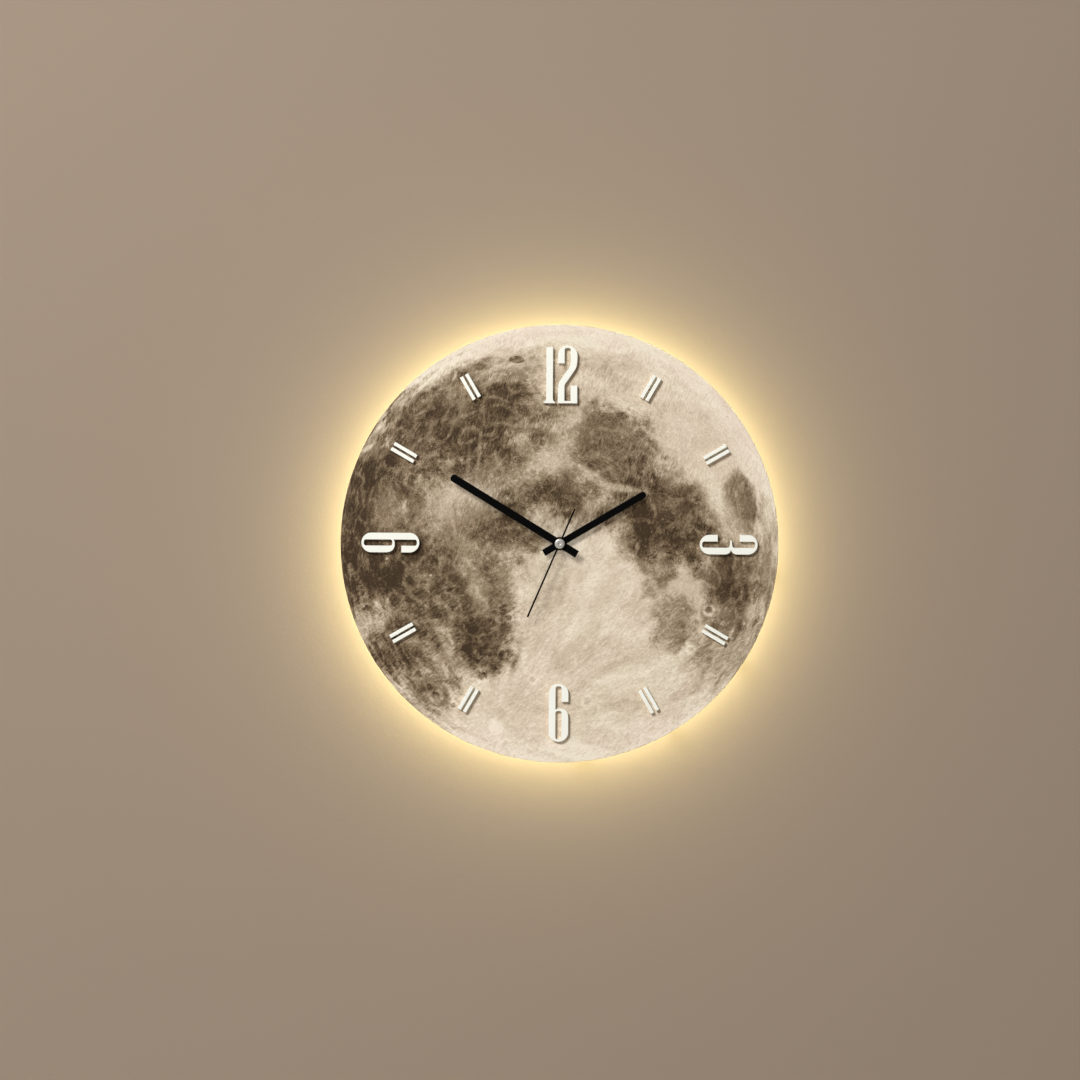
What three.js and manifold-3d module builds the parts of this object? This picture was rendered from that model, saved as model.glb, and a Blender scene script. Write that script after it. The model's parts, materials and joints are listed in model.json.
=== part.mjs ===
// LED moon wall clock: a round lunar dial with raised figures and hands, a quartz movement behind it,
// and a drum that stands it off the wall and carries a ring of light.
// Millimetres. Every piece is drawn face up, with the wall at z = 0 and the viewer at +z. The whole clock
// is then stood up, so that its front faces -Y and +Z is up, with the origin on the hand axis at the wall.

import * as THREE from 'three';
import { mergeVertices } from 'three/addons/utils/BufferGeometryUtils.js';
import Module from 'manifold-3d';

const wasm = await Module();
wasm.setup();

// Fits between pieces
const SEAT_GAP = 0.05; // faces that are glued or bear on each other
const PRESS_GAP = 0.1; // a hub pressed on its shaft
const RUNNING_GAP = 0.2; // a turning shaft in its bearing
const SLIP_GAP = 0.3; // a piece that drops into its seat
const WHEEL_GAP = 0.5; // a turning wheel past a fixed wall

// Dial
const DIAL_RADIUS = 150;
const DIAL_THICKNESS = 4;

// Raised figures and hour bars
const FIGURE_HEIGHT = 39.5;
const FIGURE_WIDTH = 13.4;
const FIGURE_STROKE = 4.6;
const FIGURE_HAIRLINE = 1.6;
const FIGURE_TERMINAL = 12.2; // length of a hooked end
const FIGURE_COUNTER_ROUND = 1.5; // corner radius of the slots between the strokes
const FIGURE_THICKNESS = 3;
const FIGURE_EVERY = 3; // hours from one figure to the next
const FIGURE_INSET = 14.55; // from the dial's edge to the outer end of a figure
const THREE_WAIST = 1.6; // height of the waist of the 3 above its middle
const THREE_NOTCH = 3.2; // depth of the notch beside the waist
const THREE_SPUR = 3.7; // from the left edge of the 3 to the tip of its spur
const ONE_HEIGHT = 38.4;
const ONE_SERIF = 1.7; // reach of the foot past the stem
const TWELVE_GAP = 3.3; // between the stem of the 1 and the 2
const BAR_LENGTH = 17.8;
const BAR_WIDTH = 2.45;
const BAR_SPACING = 4.05; // centre to centre in a pair
const BAR_INSET = 17.8; // from the dial's edge to the outer end of a bar
const HOUR_COUNT = 12;

// Hands, as the clock stands at rest: degrees clockwise from 12
const HOUR_HAND_ANGLE = 59.4;
const MINUTE_HAND_ANGLE = 301.4;
const SECOND_HAND_ANGLE = 203.3;
const HAND_THICKNESS = 0.7;
const HAND_TIP_ROUND = 2.2;
const HAND_COLLET_HEIGHT = 1.3;
const HAND_COLLET_WALL = 0.9;
const HAND_STACK_GAP = 0.8; // between one hand and the collet of the next
const HOUR_HAND_LENGTH = 68;
const HOUR_HAND_TAIL = 12.6;
const HOUR_HAND_WIDTH = 4.7;
const MINUTE_HAND_LENGTH = 87;
const MINUTE_HAND_TAIL = 14;
const MINUTE_HAND_WIDTH = 5.2;
const HAND_HUB_RIM = 2; // how far a hub stands out past the sides of its hand
const SECOND_HAND_LENGTH = 54.6;
const SECOND_HAND_TAIL = 25.8;
const SECOND_HAND_WIDTH = 1.2;
const SECOND_HAND_THICKNESS = 0.4;
const BOSS_RADIUS = 3.4;
const BOSS_HEAD = 1.5;
const BOSS_NECK_RADIUS = 1.5;
const BOSS_NECK = 1.1;
const BOSS_DIMPLE_RADIUS = 0.9;
const BOSS_DIMPLE_DEPTH = 0.5;

// Nested shafts
const SECOND_SHAFT_RADIUS = 0.5;
const MINUTE_TUBE_WALL = 0.9;
const HOUR_TUBE_WALL = 0.8;
const STEM_WALL = 1.1;
const STEM_PROUD = 1.2; // past the front of the dial
const ARBOR_RADIUS = 0.55;
const MINUTE_ARBOR_RADIUS = 1.1;
const PIN_RADIUS = 0.275; // fixed pins that the step wheel and the rotor turn on
const PIN_GAP = 0.1; // a small wheel on its pin
const BEARING_WALL = 0.8;

// Gear train: teeth of each wheel and leaves of each pinion
const ROTOR_LEAVES = 6;
const STEP_TEETH = 30;
const STEP_LEAVES = 6;
const SECOND_TEETH = 36;
const SECOND_LEAVES = 6;
const THIRD_TEETH = 45;
const THIRD_LEAVES = 6;
const CENTRE_TEETH = 48;
const CANNON_LEAVES = 12;
const MINUTE_TEETH = 36;
const MINUTE_LEAVES = 10;
const HOUR_TEETH = 40;
const ROTOR_MODULE = 0.4;
const STEP_MODULE = 0.4;
const THIRD_MODULE = 0.4;
const CANNON_MODULE = 0.5;
const STEP_DIRECTION = 110; // degrees from +x, where each arbor stands as seen from its neighbour
const ROTOR_DIRECTION = 100;
const THIRD_DIRECTION = 20;
const MINUTE_DIRECTION = 180;
const ADDENDUM = 0.65; // in modules
const DEDENDUM = 1; // in modules
const TOOTH_SHARE = 0.36; // tooth thickness as a share of the pitch
const PRESSURE_ANGLE = 20;
const WHEEL_THICKNESS = 1;
const PINION_LENGTH = 1.5;
const LAYER_PITCH = 2; // from one layer of gears to the next
const STEP_LAYER = 0.2; // the layer nearest the wall, in layer pitches

// Stepper motor and circuit
const MAGNET_RADIUS = 3;
const MAGNET_LENGTH = 3;
const STATOR_HOLE_GAP = 0.5;
const STATOR_RIM = 0.9;
const STATOR_THICKNESS = 1;
const STATOR_REACH = 12; // from the rotor to each end
const STATOR_LEG = 3.2;
const COIL_RADIUS = 3;
const CORE_WIDTH = 2.4;
const CORE_THICKNESS = 1;
const BOARD_LENGTH = 14;
const BOARD_WIDTH = 11;
const BOARD_THICKNESS = 1;
const CHIP_RADIUS = 2.4;
const CHIP_HEIGHT = 1;
const CRYSTAL_RADIUS = 1;
const CRYSTAL_LENGTH = 6;
const POST_RADIUS = 1.2;

// Battery and movement case
const BATTERY_RADIUS = 7.25;
const BATTERY_LENGTH = 50.5;
const BATTERY_NUB_RADIUS = 2.75;
const BATTERY_NUB = 1.2;
const BATTERY_PROUD = 0.5; // past the back of the case
const CONTACT_THICKNESS = 0.4;
const CONTACT_SIZE = 9;
const SPRING_TRAVEL = 1.6;
const CASE_WALL = 1.2;
const PARTITION_WALL = 1;
const CASE_POST = 2.6;
const PAD_THICKNESS = 1.5;
const PAD_MARGIN = 2;
const KNOB_RADIUS = 5;
const KNOB_HEIGHT = 4.5;
const KNOB_GROOVE = 0.4;
const KNOB_GROOVES = 18;
const KNOB_CASE_GAP = 1.5;
const KNOB_WALL_GAP = 2; // between the knob and the rear cover

// Drum, rear cover and light
const DRUM_RADIUS = 125;
const DRUM_WALL = 2.5;
const FLANGE_WIDTH = 22;
const FLANGE_THICKNESS = 2.5;
const TAPE_THICKNESS = 1;
const TAPE_MARGIN = 1.5;
const COVER_THICKNESS = 2;
const SCREW_COUNT = 4;
const SCREW_START = 45; // degrees from +x to the first screw
const SCREW_BOSS_RADIUS = 4.5;
const SCREW_RADIUS = 1.5;
const SCREW_HEAD_RADIUS = 3;
const SCREW_HEAD_HEIGHT = 1.7;
const SCREW_LENGTH = 12;
const SCREW_RECESS = 0.3; // head below the back face
const SCREW_SLOT_WIDTH = 0.7;
const SCREW_SLOT_DEPTH = 0.6;
const KEYHOLE_SPREAD = 70; // each keyhole from the middle
const KEYHOLE_HEIGHT = 66;
const KEYHOLE_HEAD_RADIUS = 5;
const KEYHOLE_SLOT_WIDTH = 5.4;
const KEYHOLE_RISE = 11;
const BATTERY_WINDOW_MARGIN = 3;
const KNOB_HOLE_MARGIN = 3.5;
const STRIP_WIDTH = 8;
const STRIP_THICKNESS = 0.4;
const STRIP_WALL_GAP = 4; // from the rear cover to the strip
const STRIP_END_GAP = 5;
const LED_COUNT = 40;
const LED_LENGTH = 3.5;
const LED_WIDTH = 2.8;
const LED_HEIGHT = 0.9;
const DRIVER_LENGTH = 76;
const DRIVER_WIDTH = 34;
const DRIVER_HEIGHT = 18;
const DRIVER_ROUND = 3;
const DRIVER_RIM_GAP = 30; // from the drum's wall
const TERMINAL_LENGTH = 24;
const TERMINAL_WIDTH = 16;
const TERMINAL_HEIGHT = 12;
const TERMINAL_WELL_RADIUS = 2.5;
const TERMINAL_WELL_DEPTH = 5;
const TERMINAL_GAP = 16; // from the driver
const TERMINAL_RISE = 17; // above the driver's middle
const GROMMET_RADIUS = 6;
const GROMMET_FLANGE = 2;
const GROMMET_BORE = 3.5;
const GROMMET_FLANGE_THICKNESS = 1.4;
const GROMMET_RISE = 22; // above the terminal block
const LEAD_RADIUS = 1.1;
const LEAD_HEIGHT = 8; // above the rear cover
const LEAD_SLACK = 5; // sideways sway of a lead

// Smoothness
const FINE_SIDES = 64;
const ROUND_SIDES = 24;
const SMALL_SIDES = 16;
const ARC_STEPS = 12;
const LEAD_SIDES = 8;
const LEAD_STEPS = 12;
const JOIN_DEPTH = 0.4; // how far one joined shape sinks into the next
const CUT_MARGIN = 1; // how far a cutter reaches past a face
const SAME_POINT = 1e-4;

const FULL_TURN = 2 * Math.PI;
const radians = THREE.MathUtils.degToRad;

// Levels, up from the wall
const coverFront = COVER_THICKNESS;
const knobBack = coverFront + KNOB_WALL_GAP;
const caseBack = knobBack + KNOB_HEIGHT + KNOB_CASE_GAP;
const roomBack = caseBack + CASE_WALL;
const layerLevel = (layer) => roomBack + WHEEL_GAP + PINION_LENGTH / 2 + layer * LAYER_PITCH;
const secondLayer = STEP_LAYER + 1;
const thirdLayer = STEP_LAYER + 2;
const centreLayer = STEP_LAYER + 3;
const cannonLayer = STEP_LAYER + 4;
const hourLayer = STEP_LAYER + 5;
const trainTop = layerLevel(hourLayer) + PINION_LENGTH / 2 + WHEEL_GAP;
const batteryTop = caseBack - BATTERY_PROUD + 2 * BATTERY_RADIUS + SLIP_GAP;
const roomFront = Math.max(trainTop, batteryTop);
const caseFront = roomFront + CASE_WALL;
const dialBack = caseFront + PAD_THICKNESS + 2 * SEAT_GAP;
const dialFront = dialBack + DIAL_THICKNESS;
const drumFront = dialBack - TAPE_THICKNESS - 2 * SEAT_GAP;
const stemEnd = dialFront + STEM_PROUD;
const hourHandBack = stemEnd + HAND_STACK_GAP + HAND_COLLET_HEIGHT;
const hourTubeEnd = hourHandBack + HAND_THICKNESS;
const minuteHandBack = hourTubeEnd + HAND_STACK_GAP + HAND_COLLET_HEIGHT;
const minuteTubeEnd = minuteHandBack + HAND_THICKNESS;
const bossBack = minuteTubeEnd + HAND_STACK_GAP;
const bossHeadBack = bossBack + BOSS_NECK;
const bossFront = bossHeadBack + BOSS_HEAD;

// Radii of the nested shafts
const minuteTubeBore = SECOND_SHAFT_RADIUS + RUNNING_GAP;
const minuteTubeRadius = minuteTubeBore + MINUTE_TUBE_WALL;
const hourTubeBore = minuteTubeRadius + RUNNING_GAP;
const hourTubeRadius = hourTubeBore + HOUR_TUBE_WALL;
const stemBore = hourTubeRadius + RUNNING_GAP;
const stemRadius = stemBore + STEM_WALL;
const arborBore = ARBOR_RADIUS + RUNNING_GAP;
const minuteArborBore = MINUTE_ARBOR_RADIUS + RUNNING_GAP;
const bearingRadius = arborBore + BEARING_WALL;

// Places of the arbors, seen from the front
const spread = (module, teeth, leaves) => module * (teeth + leaves) / 2;
const toward = (from, distance, angle) => ({
  x: from.x + distance * Math.cos(radians(angle)),
  y: from.y + distance * Math.sin(radians(angle)),
});
const hub = { x: 0, y: 0 };
const thirdDistance = spread(THIRD_MODULE, THIRD_TEETH, SECOND_LEAVES);
const minuteDistance = spread(CANNON_MODULE, MINUTE_TEETH, CANNON_LEAVES);
const centreModule = 2 * thirdDistance / (CENTRE_TEETH + THIRD_LEAVES);
const hourModule = 2 * minuteDistance / (HOUR_TEETH + MINUTE_LEAVES);
const thirdArbor = toward(hub, thirdDistance, THIRD_DIRECTION);
const minuteArbor = toward(hub, minuteDistance, MINUTE_DIRECTION);
const stepArbor = toward(hub, spread(STEP_MODULE, SECOND_TEETH, STEP_LEAVES), STEP_DIRECTION);
const rotorArbor = toward(stepArbor, spread(ROTOR_MODULE, STEP_TEETH, ROTOR_LEAVES), ROTOR_DIRECTION);
const tipRadius = (module, teeth) => module * (teeth / 2 + ADDENDUM);

// Motor, room and battery bay, seen from the front
const statorHole = MAGNET_RADIUS + STATOR_HOLE_GAP;
const statorHalf = statorHole + STATOR_RIM;
const statorLeft = rotorArbor.x - STATOR_REACH;
const statorRight = rotorArbor.x + STATOR_REACH;
const coilY = rotorArbor.y + statorHalf + SLIP_GAP + COIL_RADIUS;
const statorTop = coilY + CORE_WIDTH / 2;
const statorBack = layerLevel(secondLayer) + PINION_LENGTH / 2 - STATOR_THICKNESS;
const statorFront = statorBack + STATOR_THICKNESS;
const coreMiddle = statorFront + SEAT_GAP + CORE_THICKNESS / 2;
const boardLeft = statorRight + SLIP_GAP;
const boardTop = coilY + COIL_RADIUS;
const roomTop = coilY + COIL_RADIUS + SLIP_GAP;
const widestWheel = Math.max(tipRadius(hourModule, HOUR_TEETH), tipRadius(centreModule, CENTRE_TEETH));
const roomBottom = -widestWheel - WHEEL_GAP;
const contactDepth = SEAT_GAP + CONTACT_THICKNESS + SLIP_GAP;
const bayHalf = BATTERY_LENGTH / 2 + contactDepth + SPRING_TRAVEL / 2;
const trainRight = thirdArbor.x + tipRadius(THIRD_MODULE, THIRD_TEETH) + WHEEL_GAP;
const trainLeft = tipRadius(CANNON_MODULE, MINUTE_TEETH) - minuteArbor.x + WHEEL_GAP;
const boardRight = boardLeft + BOARD_LENGTH + CASE_POST + SLIP_GAP;
const roomHalf = Math.max(bayHalf, trainRight, trainLeft, boardRight);
const bayTop = roomBottom - PARTITION_WALL;
const bayBottom = bayTop - 2 * BATTERY_RADIUS - 2 * SLIP_GAP;
const batteryY = (bayTop + bayBottom) / 2;
const batteryZ = roomFront - SLIP_GAP - BATTERY_RADIUS;
const batteryLeft = -bayHalf + contactDepth;
const caseHalf = roomHalf + CASE_WALL;
const caseTop = roomTop + CASE_WALL;
const caseBottom = bayBottom - CASE_WALL;

// Driver, terminal block and cable way on the rear cover
const drumInner = DRUM_RADIUS - DRUM_WALL;
const screwRing = drumInner - SCREW_BOSS_RADIUS + JOIN_DEPTH;
const driverY = -drumInner + DRIVER_RIM_GAP + DRIVER_WIDTH / 2;
const terminalX = DRIVER_LENGTH / 2 + TERMINAL_GAP + TERMINAL_LENGTH / 2;
const terminalY = driverY + TERMINAL_RISE;
const grommetY = terminalY + GROMMET_RISE;
const seatOnCover = coverFront + SEAT_GAP;
const leadZ = coverFront + LEAD_HEIGHT;
const stripBack = coverFront + STRIP_WALL_GAP;
const stripInner = DRUM_RADIUS + SEAT_GAP;
const stripOuter = stripInner + STRIP_THICKNESS;

// Finishes
function finish(color, roughness, metalness = 0) {
  return new THREE.MeshStandardMaterial({ color, roughness, metalness });
}

const moonPrint = finish(0xb9a88f, 0.7);
const ivoryAcrylic = finish(0xebe4d4, 0.35);
const blackPaint = finish(0x0b0b0c, 0.45);
const polishedSteel = finish(0xc9c7c2, 0.25, 1);
const whitePlastic = finish(0xe4e2dc, 0.5);
const blackPlastic = finish(0x17181a, 0.5);
const naturalPlastic = finish(0xd8d4c4, 0.5);
const redPlastic = finish(0xa8352c, 0.5);
const brass = finish(0xb58b3c, 0.35, 1);
const steel = finish(0x9a9ca0, 0.35, 1);
const copper = finish(0xa85a32, 0.4, 1);
const circuitGreen = finish(0x2d5b3a, 0.5);
const blackFoam = finish(0x222222, 0.9);
const blackRubber = finish(0x1a1a1a, 0.8);
const warmLight = finish(0xffe2a8, 0.4);
const batteryWrap = finish(0x2f5f8c, 0.4);

// Outlines
function arc(x, y, radiusX, radiusY, from, to, steps = ARC_STEPS) {
  return Array.from({ length: steps + 1 }, (_, i) => {
    const angle = radians(from + (to - from) * i / steps);
    return [x + radiusX * Math.cos(angle), y + radiusY * Math.sin(angle)];
  });
}

function bend(from, control, to, steps = ARC_STEPS) {
  const [start, middle, end] = [from, control, to].map(([x, y]) => new THREE.Vector2(x, y));
  return new THREE.QuadraticBezierCurve(start, middle, end).getPoints(steps).map((p) => [p.x, p.y]);
}

function outline(points, holes = []) {
  const vectors = points.map(([x, y]) => new THREE.Vector2(x, y));
  const kept = vectors.filter((p, i) => p.distanceTo(vectors[(i + 1) % vectors.length]) > SAME_POINT);
  const shape = new THREE.Shape(kept);
  shape.holes = holes;
  return shape;
}

function circle(radius, sides = ROUND_SIDES, x = 0, y = 0, holes = []) {
  return outline(arc(x, y, radius, radius, 0, 360, sides), holes);
}

function ring(outer, inner, sides = ROUND_SIDES, x = 0, y = 0) {
  return circle(outer, sides, x, y, [circle(inner, sides, x, y)]);
}

function rectangle(left, bottom, right, top, holes = []) {
  return outline([[left, bottom], [right, bottom], [right, top], [left, top]], holes);
}

// Solids
function extrude(shape, bottom, height) {
  const geometry = new THREE.ExtrudeGeometry(shape, { depth: height, bevelEnabled: false });
  return geometry.translate(0, 0, bottom);
}

function arbor(at, radius, bottom, end) {
  return extrude(circle(radius, SMALL_SIDES, at.x, at.y), bottom, end - bottom);
}

function solid(geometry) {
  const bare = geometry.clone();
  bare.deleteAttribute('normal');
  bare.deleteAttribute('uv');
  const merged = mergeVertices(bare, SAME_POINT);
  return new wasm.Manifold(new wasm.Mesh({
    numProp: 3,
    vertProperties: merged.attributes.position.array,
    triVerts: merged.index.array,
  }));
}

function geometryOf(body) {
  const mesh = body.getMesh();
  const geometry = new THREE.BufferGeometry();
  geometry.setAttribute('position', new THREE.BufferAttribute(mesh.vertProperties, mesh.numProp));
  geometry.setIndex(new THREE.BufferAttribute(mesh.triVerts, 1));
  return geometry;
}

function join(...geometries) {
  const [first, ...rest] = geometries.map(solid);
  return geometryOf(rest.reduce((body, next) => body.add(next), first));
}

function cut(geometry, ...cutters) {
  return geometryOf(cutters.map(solid).reduce((body, next) => body.subtract(next), solid(geometry)));
}

function through(shape, bottom, height) {
  return extrude(shape, bottom - CUT_MARGIN, height + 2 * CUT_MARGIN);
}

const clock = new THREE.Group();
clock.name = 'led_moon_wall_clock';
const face = new THREE.Group();
face.rotation.x = Math.PI / 2;
clock.add(face);

function place(name, geometry, material, clockwise = 0) {
  const mesh = new THREE.Mesh(geometry, material);
  mesh.name = name;
  mesh.rotation.z = -radians(clockwise);
  face.add(mesh);
  return mesh;
}

// Dial panel
place('dial_panel', extrude(
  circle(DIAL_RADIUS, FINE_SIDES, 0, 0, [circle(stemRadius + SLIP_GAP)]),
  dialBack,
  DIAL_THICKNESS,
), moonPrint);

// Raised figures: tall, narrow strokes with round ends, hairline joins and square-cut terminals
const half = FIGURE_WIDTH / 2;
const top = FIGURE_HEIGHT / 2;
const inner = half - FIGURE_STROKE;
const bow = top - half; // where the round ends start
const terminal = top - FIGURE_TERMINAL;
const hollow = half - FIGURE_HAIRLINE;
const slotTop = top - FIGURE_HAIRLINE;
const figureRing = DIAL_RADIUS - FIGURE_INSET - top;

// The round end of a figure, about height y
function roundEnd(y, from, to) {
  return arc(0, y, half, half, from, to, 2 * ARC_STEPS);
}

// The rounded end of a slot between the strokes, at height y, swept from one angle to another
function slotEnd(y, start, end) {
  const middle = (start + end) / 2;
  const up = Math.sign(Math.sin(radians(middle)));
  const side = Math.sign(Math.cos(radians(start)));
  const corner = Math.min(FIGURE_COUNTER_ROUND, inner);
  const reach = side * (inner - corner);
  return [
    ...arc(reach, y - up * corner, corner, corner, start, middle),
    ...arc(-reach, y - up * corner, corner, corner, middle, end),
  ];
}

function figureOne() {
  const stem = FIGURE_STROKE / 2;
  const foot = stem + ONE_SERIF;
  const base = -top;
  const edge = base + FIGURE_HAIRLINE / 2;
  const knee = base + FIGURE_HAIRLINE;
  const ankle = base + 2 * ONE_SERIF;
  return outline([
    [-foot, base],
    [foot, base],
    ...bend([foot, edge], [stem, knee], [stem, ankle]),
    [stem, base + ONE_HEIGHT],
    [-stem, base + ONE_HEIGHT],
    ...bend([-stem, ankle], [-stem, knee], [-foot, edge]),
  ]);
}

function figureTwo() {
  const sweepLow = -top + FIGURE_HEIGHT / 3;
  const sweepHigh = sweepLow + FIGURE_TERMINAL;
  const slope = FIGURE_STROKE / 2;
  return outline([
    [-half, -top],
    [half, -top],
    [half, -top + FIGURE_TERMINAL],
    [inner, -top + FIGURE_TERMINAL],
    [inner, -top + FIGURE_HAIRLINE],
    [-inner, -top + FIGURE_HAIRLINE],
    ...bend([-inner, sweepLow - FIGURE_HAIRLINE], [-inner, sweepLow], [0, sweepLow + slope]),
    ...bend([hollow, sweepHigh - slope], [half, sweepHigh], [half, sweepHigh + half]),
    ...roundEnd(bow, 0, 180),
    [-half, terminal],
    [-inner, terminal],
    ...slotEnd(slotTop, 180, 0),
    ...bend([inner, sweepHigh + FIGURE_STROKE], [inner, sweepHigh], [0, sweepHigh - slope]),
    ...bend([-hollow, sweepLow + slope], [-half, sweepLow], [-half, sweepLow - half]),
  ]);
}

function figureThree() {
  const spur = FIGURE_HAIRLINE / 2;
  const waist = half - THREE_NOTCH;
  const fillet = THREE_WAIST + spur + FIGURE_HAIRLINE;
  const spurTip = -half + THREE_SPUR;
  return outline([
    [-half, terminal],
    ...roundEnd(bow, 180, 0),
    ...bend([half, THREE_WAIST + FIGURE_STROKE], [half, THREE_WAIST + spur], [waist, THREE_WAIST]),
    ...bend([waist, THREE_WAIST], [half, THREE_WAIST - spur], [half, THREE_WAIST - FIGURE_STROKE]),
    ...roundEnd(-bow, 0, -180),
    [-half, -terminal],
    [-inner, -terminal],
    ...slotEnd(-slotTop, -180, 0),
    ...bend([inner, 2 * THREE_WAIST - fillet], [inner, THREE_WAIST - spur], [0, THREE_WAIST - spur]),
    [spurTip, THREE_WAIST - spur / 2],
    [spurTip, THREE_WAIST + spur / 2],
    ...bend([0, THREE_WAIST + spur], [inner, THREE_WAIST + spur], [inner, fillet]),
    ...slotEnd(slotTop, 0, 180),
    [-inner, terminal],
  ]);
}

function figureSix() {
  const bowlTop = terminal - FIGURE_STROKE;
  const shoulder = bowlTop - half;
  const eye = outline([
    ...slotEnd(-slotTop, 180, 360),
    ...slotEnd(bowlTop - FIGURE_HAIRLINE, 0, 180),
  ]);
  return outline([
    [half, terminal],
    ...roundEnd(bow, 0, 180),
    ...roundEnd(-bow, 180, 360),
    ...bend([half, shoulder], [half, bowlTop], [inner / 2, bowlTop]),
    ...bend([inner / 2, bowlTop], [-inner / 2, bowlTop], [-inner, bowlTop - FIGURE_HAIRLINE / 2]),
    ...slotEnd(slotTop, 180, 0),
    [inner, terminal],
  ], [eye]);
}

const figureBack = dialFront + SEAT_GAP;

function placeFigure(name, shape, x, y, clockwise) {
  const mesh = place(name, extrude(shape, figureBack, FIGURE_THICKNESS), ivoryAcrylic, clockwise);
  mesh.position.set(x, y, 0);
}

const twelveWidth = ONE_SERIF + FIGURE_STROKE + TWELVE_GAP + FIGURE_WIDTH;
placeFigure('numeral_12_one', figureOne(), -twelveWidth / 2 + ONE_SERIF + FIGURE_STROKE / 2, figureRing, 0);
placeFigure('numeral_12_two', figureTwo(), twelveWidth / 2 - half, figureRing, 0);
placeFigure('numeral_3', figureThree(), figureRing, 0, 90);
placeFigure('numeral_6', figureSix(), 0, -figureRing, 0);
placeFigure('numeral_9', figureSix(), -figureRing, 0, 90);

// Hour bars, in pairs at every hour without a figure
const barHours = Array.from({ length: HOUR_COUNT }, (_, hour) => hour).filter((hour) => hour % FIGURE_EVERY);
const barEnd = DIAL_RADIUS - BAR_INSET;
for (const hour of barHours) {
  for (const [side, offset] of [['left', -BAR_SPACING / 2], ['right', BAR_SPACING / 2]]) {
    const bar = rectangle(
      offset - BAR_WIDTH / 2,
      barEnd - BAR_LENGTH,
      offset + BAR_WIDTH / 2,
      barEnd,
    );
    const block = extrude(bar, figureBack, FIGURE_THICKNESS);
    place(`hour_bar_${hour}_${side}`, block, ivoryAcrylic, hour * 360 / HOUR_COUNT);
  }
}

// Hands
function handShape(length, tail, width, bore) {
  const side = width / 2;
  const hubRadius = side + HAND_HUB_RIM;
  const meet = THREE.MathUtils.radToDeg(Math.asin(side / hubRadius));
  const round = Math.min(HAND_TIP_ROUND, side);
  return outline([
    [-side, -tail],
    [side, -tail],
    ...arc(0, 0, hubRadius, hubRadius, meet - 90, 90 - meet),
    ...arc(side - round, length - round, round, round, 0, 90),
    ...arc(round - side, length - round, round, round, 90, 180),
    ...arc(0, 0, hubRadius, hubRadius, 90 + meet, 270 - meet),
  ], [circle(bore, SMALL_SIDES)]);
}

function hand(shape, back, bore) {
  const collet = ring(bore + HAND_COLLET_WALL, bore, SMALL_SIDES);
  return join(
    extrude(shape, back, HAND_THICKNESS),
    extrude(collet, back - HAND_COLLET_HEIGHT, HAND_COLLET_HEIGHT + HAND_THICKNESS / 2),
  );
}

const hourHandBore = hourTubeRadius + PRESS_GAP;
const minuteHandBore = minuteTubeRadius + PRESS_GAP;
const hourHandShape = handShape(HOUR_HAND_LENGTH, HOUR_HAND_TAIL, HOUR_HAND_WIDTH, hourHandBore);
const minuteHandShape = handShape(MINUTE_HAND_LENGTH, MINUTE_HAND_TAIL, MINUTE_HAND_WIDTH, minuteHandBore);
place('hour_hand', hand(hourHandShape, hourHandBack, hourHandBore), blackPaint, HOUR_HAND_ANGLE);
place('minute_hand', hand(minuteHandShape, minuteHandBack, minuteHandBore), blackPaint, MINUTE_HAND_ANGLE);

const secondHandBack = bossHeadBack - SEAT_GAP - SECOND_HAND_THICKNESS;
const secondHandBore = circle(BOSS_NECK_RADIUS + PRESS_GAP, SMALL_SIDES);
const secondSide = SECOND_HAND_WIDTH / 2;
const secondBlade = rectangle(-secondSide, -SECOND_HAND_TAIL, secondSide, SECOND_HAND_LENGTH);
const secondEye = circle(BOSS_RADIUS, SMALL_SIDES);
place('second_hand', cut(
  join(
    extrude(secondBlade, secondHandBack, SECOND_HAND_THICKNESS),
    extrude(secondEye, secondHandBack, SECOND_HAND_THICKNESS),
  ),
  through(secondHandBore, secondHandBack, SECOND_HAND_THICKNESS),
), blackPaint, SECOND_HAND_ANGLE);

place('second_hand_boss', cut(
  join(
    extrude(circle(BOSS_RADIUS), bossHeadBack, BOSS_HEAD),
    extrude(circle(BOSS_NECK_RADIUS, SMALL_SIDES), bossBack, BOSS_NECK + JOIN_DEPTH),
  ),
  arbor(hub, SECOND_SHAFT_RADIUS + PRESS_GAP, bossBack - CUT_MARGIN, bossHeadBack),
  arbor(hub, BOSS_DIMPLE_RADIUS, bossFront - BOSS_DIMPLE_DEPTH, bossFront + CUT_MARGIN),
), polishedSteel);

// Gears
function gearShape(teeth, module, phase) {
  const pitchRadius = module * teeth / 2;
  const tip = pitchRadius + ADDENDUM * module;
  const root = pitchRadius - DEDENDUM * module;
  const halfTooth = TOOTH_SHARE * Math.PI / teeth;
  const flank = Math.tan(radians(PRESSURE_ANGLE)) * module / pitchRadius;
  const points = [];
  for (let tooth = 0; tooth < teeth; tooth += 1) {
    const middle = phase + tooth * FULL_TURN / teeth;
    const rootHalf = halfTooth + DEDENDUM * flank;
    const tipHalf = halfTooth - ADDENDUM * flank;
    const corners = [[root, -rootHalf], [tip, -tipHalf], [tip, tipHalf], [root, rootHalf]];
    points.push(...corners.map(([r, a]) => [r * Math.cos(middle + a), r * Math.sin(middle + a)]));
  }
  return points;
}

// The phase that puts a gap of the second gear against a tooth of the first
function meshPhase(from, teeth, phase, to, otherTeeth) {
  const angle = Math.atan2(to.y - from.y, to.x - from.x);
  const inTeeth = (angle - phase) * teeth / FULL_TURN;
  return angle + Math.PI - (0.5 - inTeeth) * FULL_TURN / otherTeeth;
}

function gear(teeth, module, phase, at, layer, thickness) {
  const points = gearShape(teeth, module, phase).map(([x, y]) => [x + at.x, y + at.y]);
  return extrude(outline(points), layerLevel(layer) - thickness / 2, thickness);
}

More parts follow.
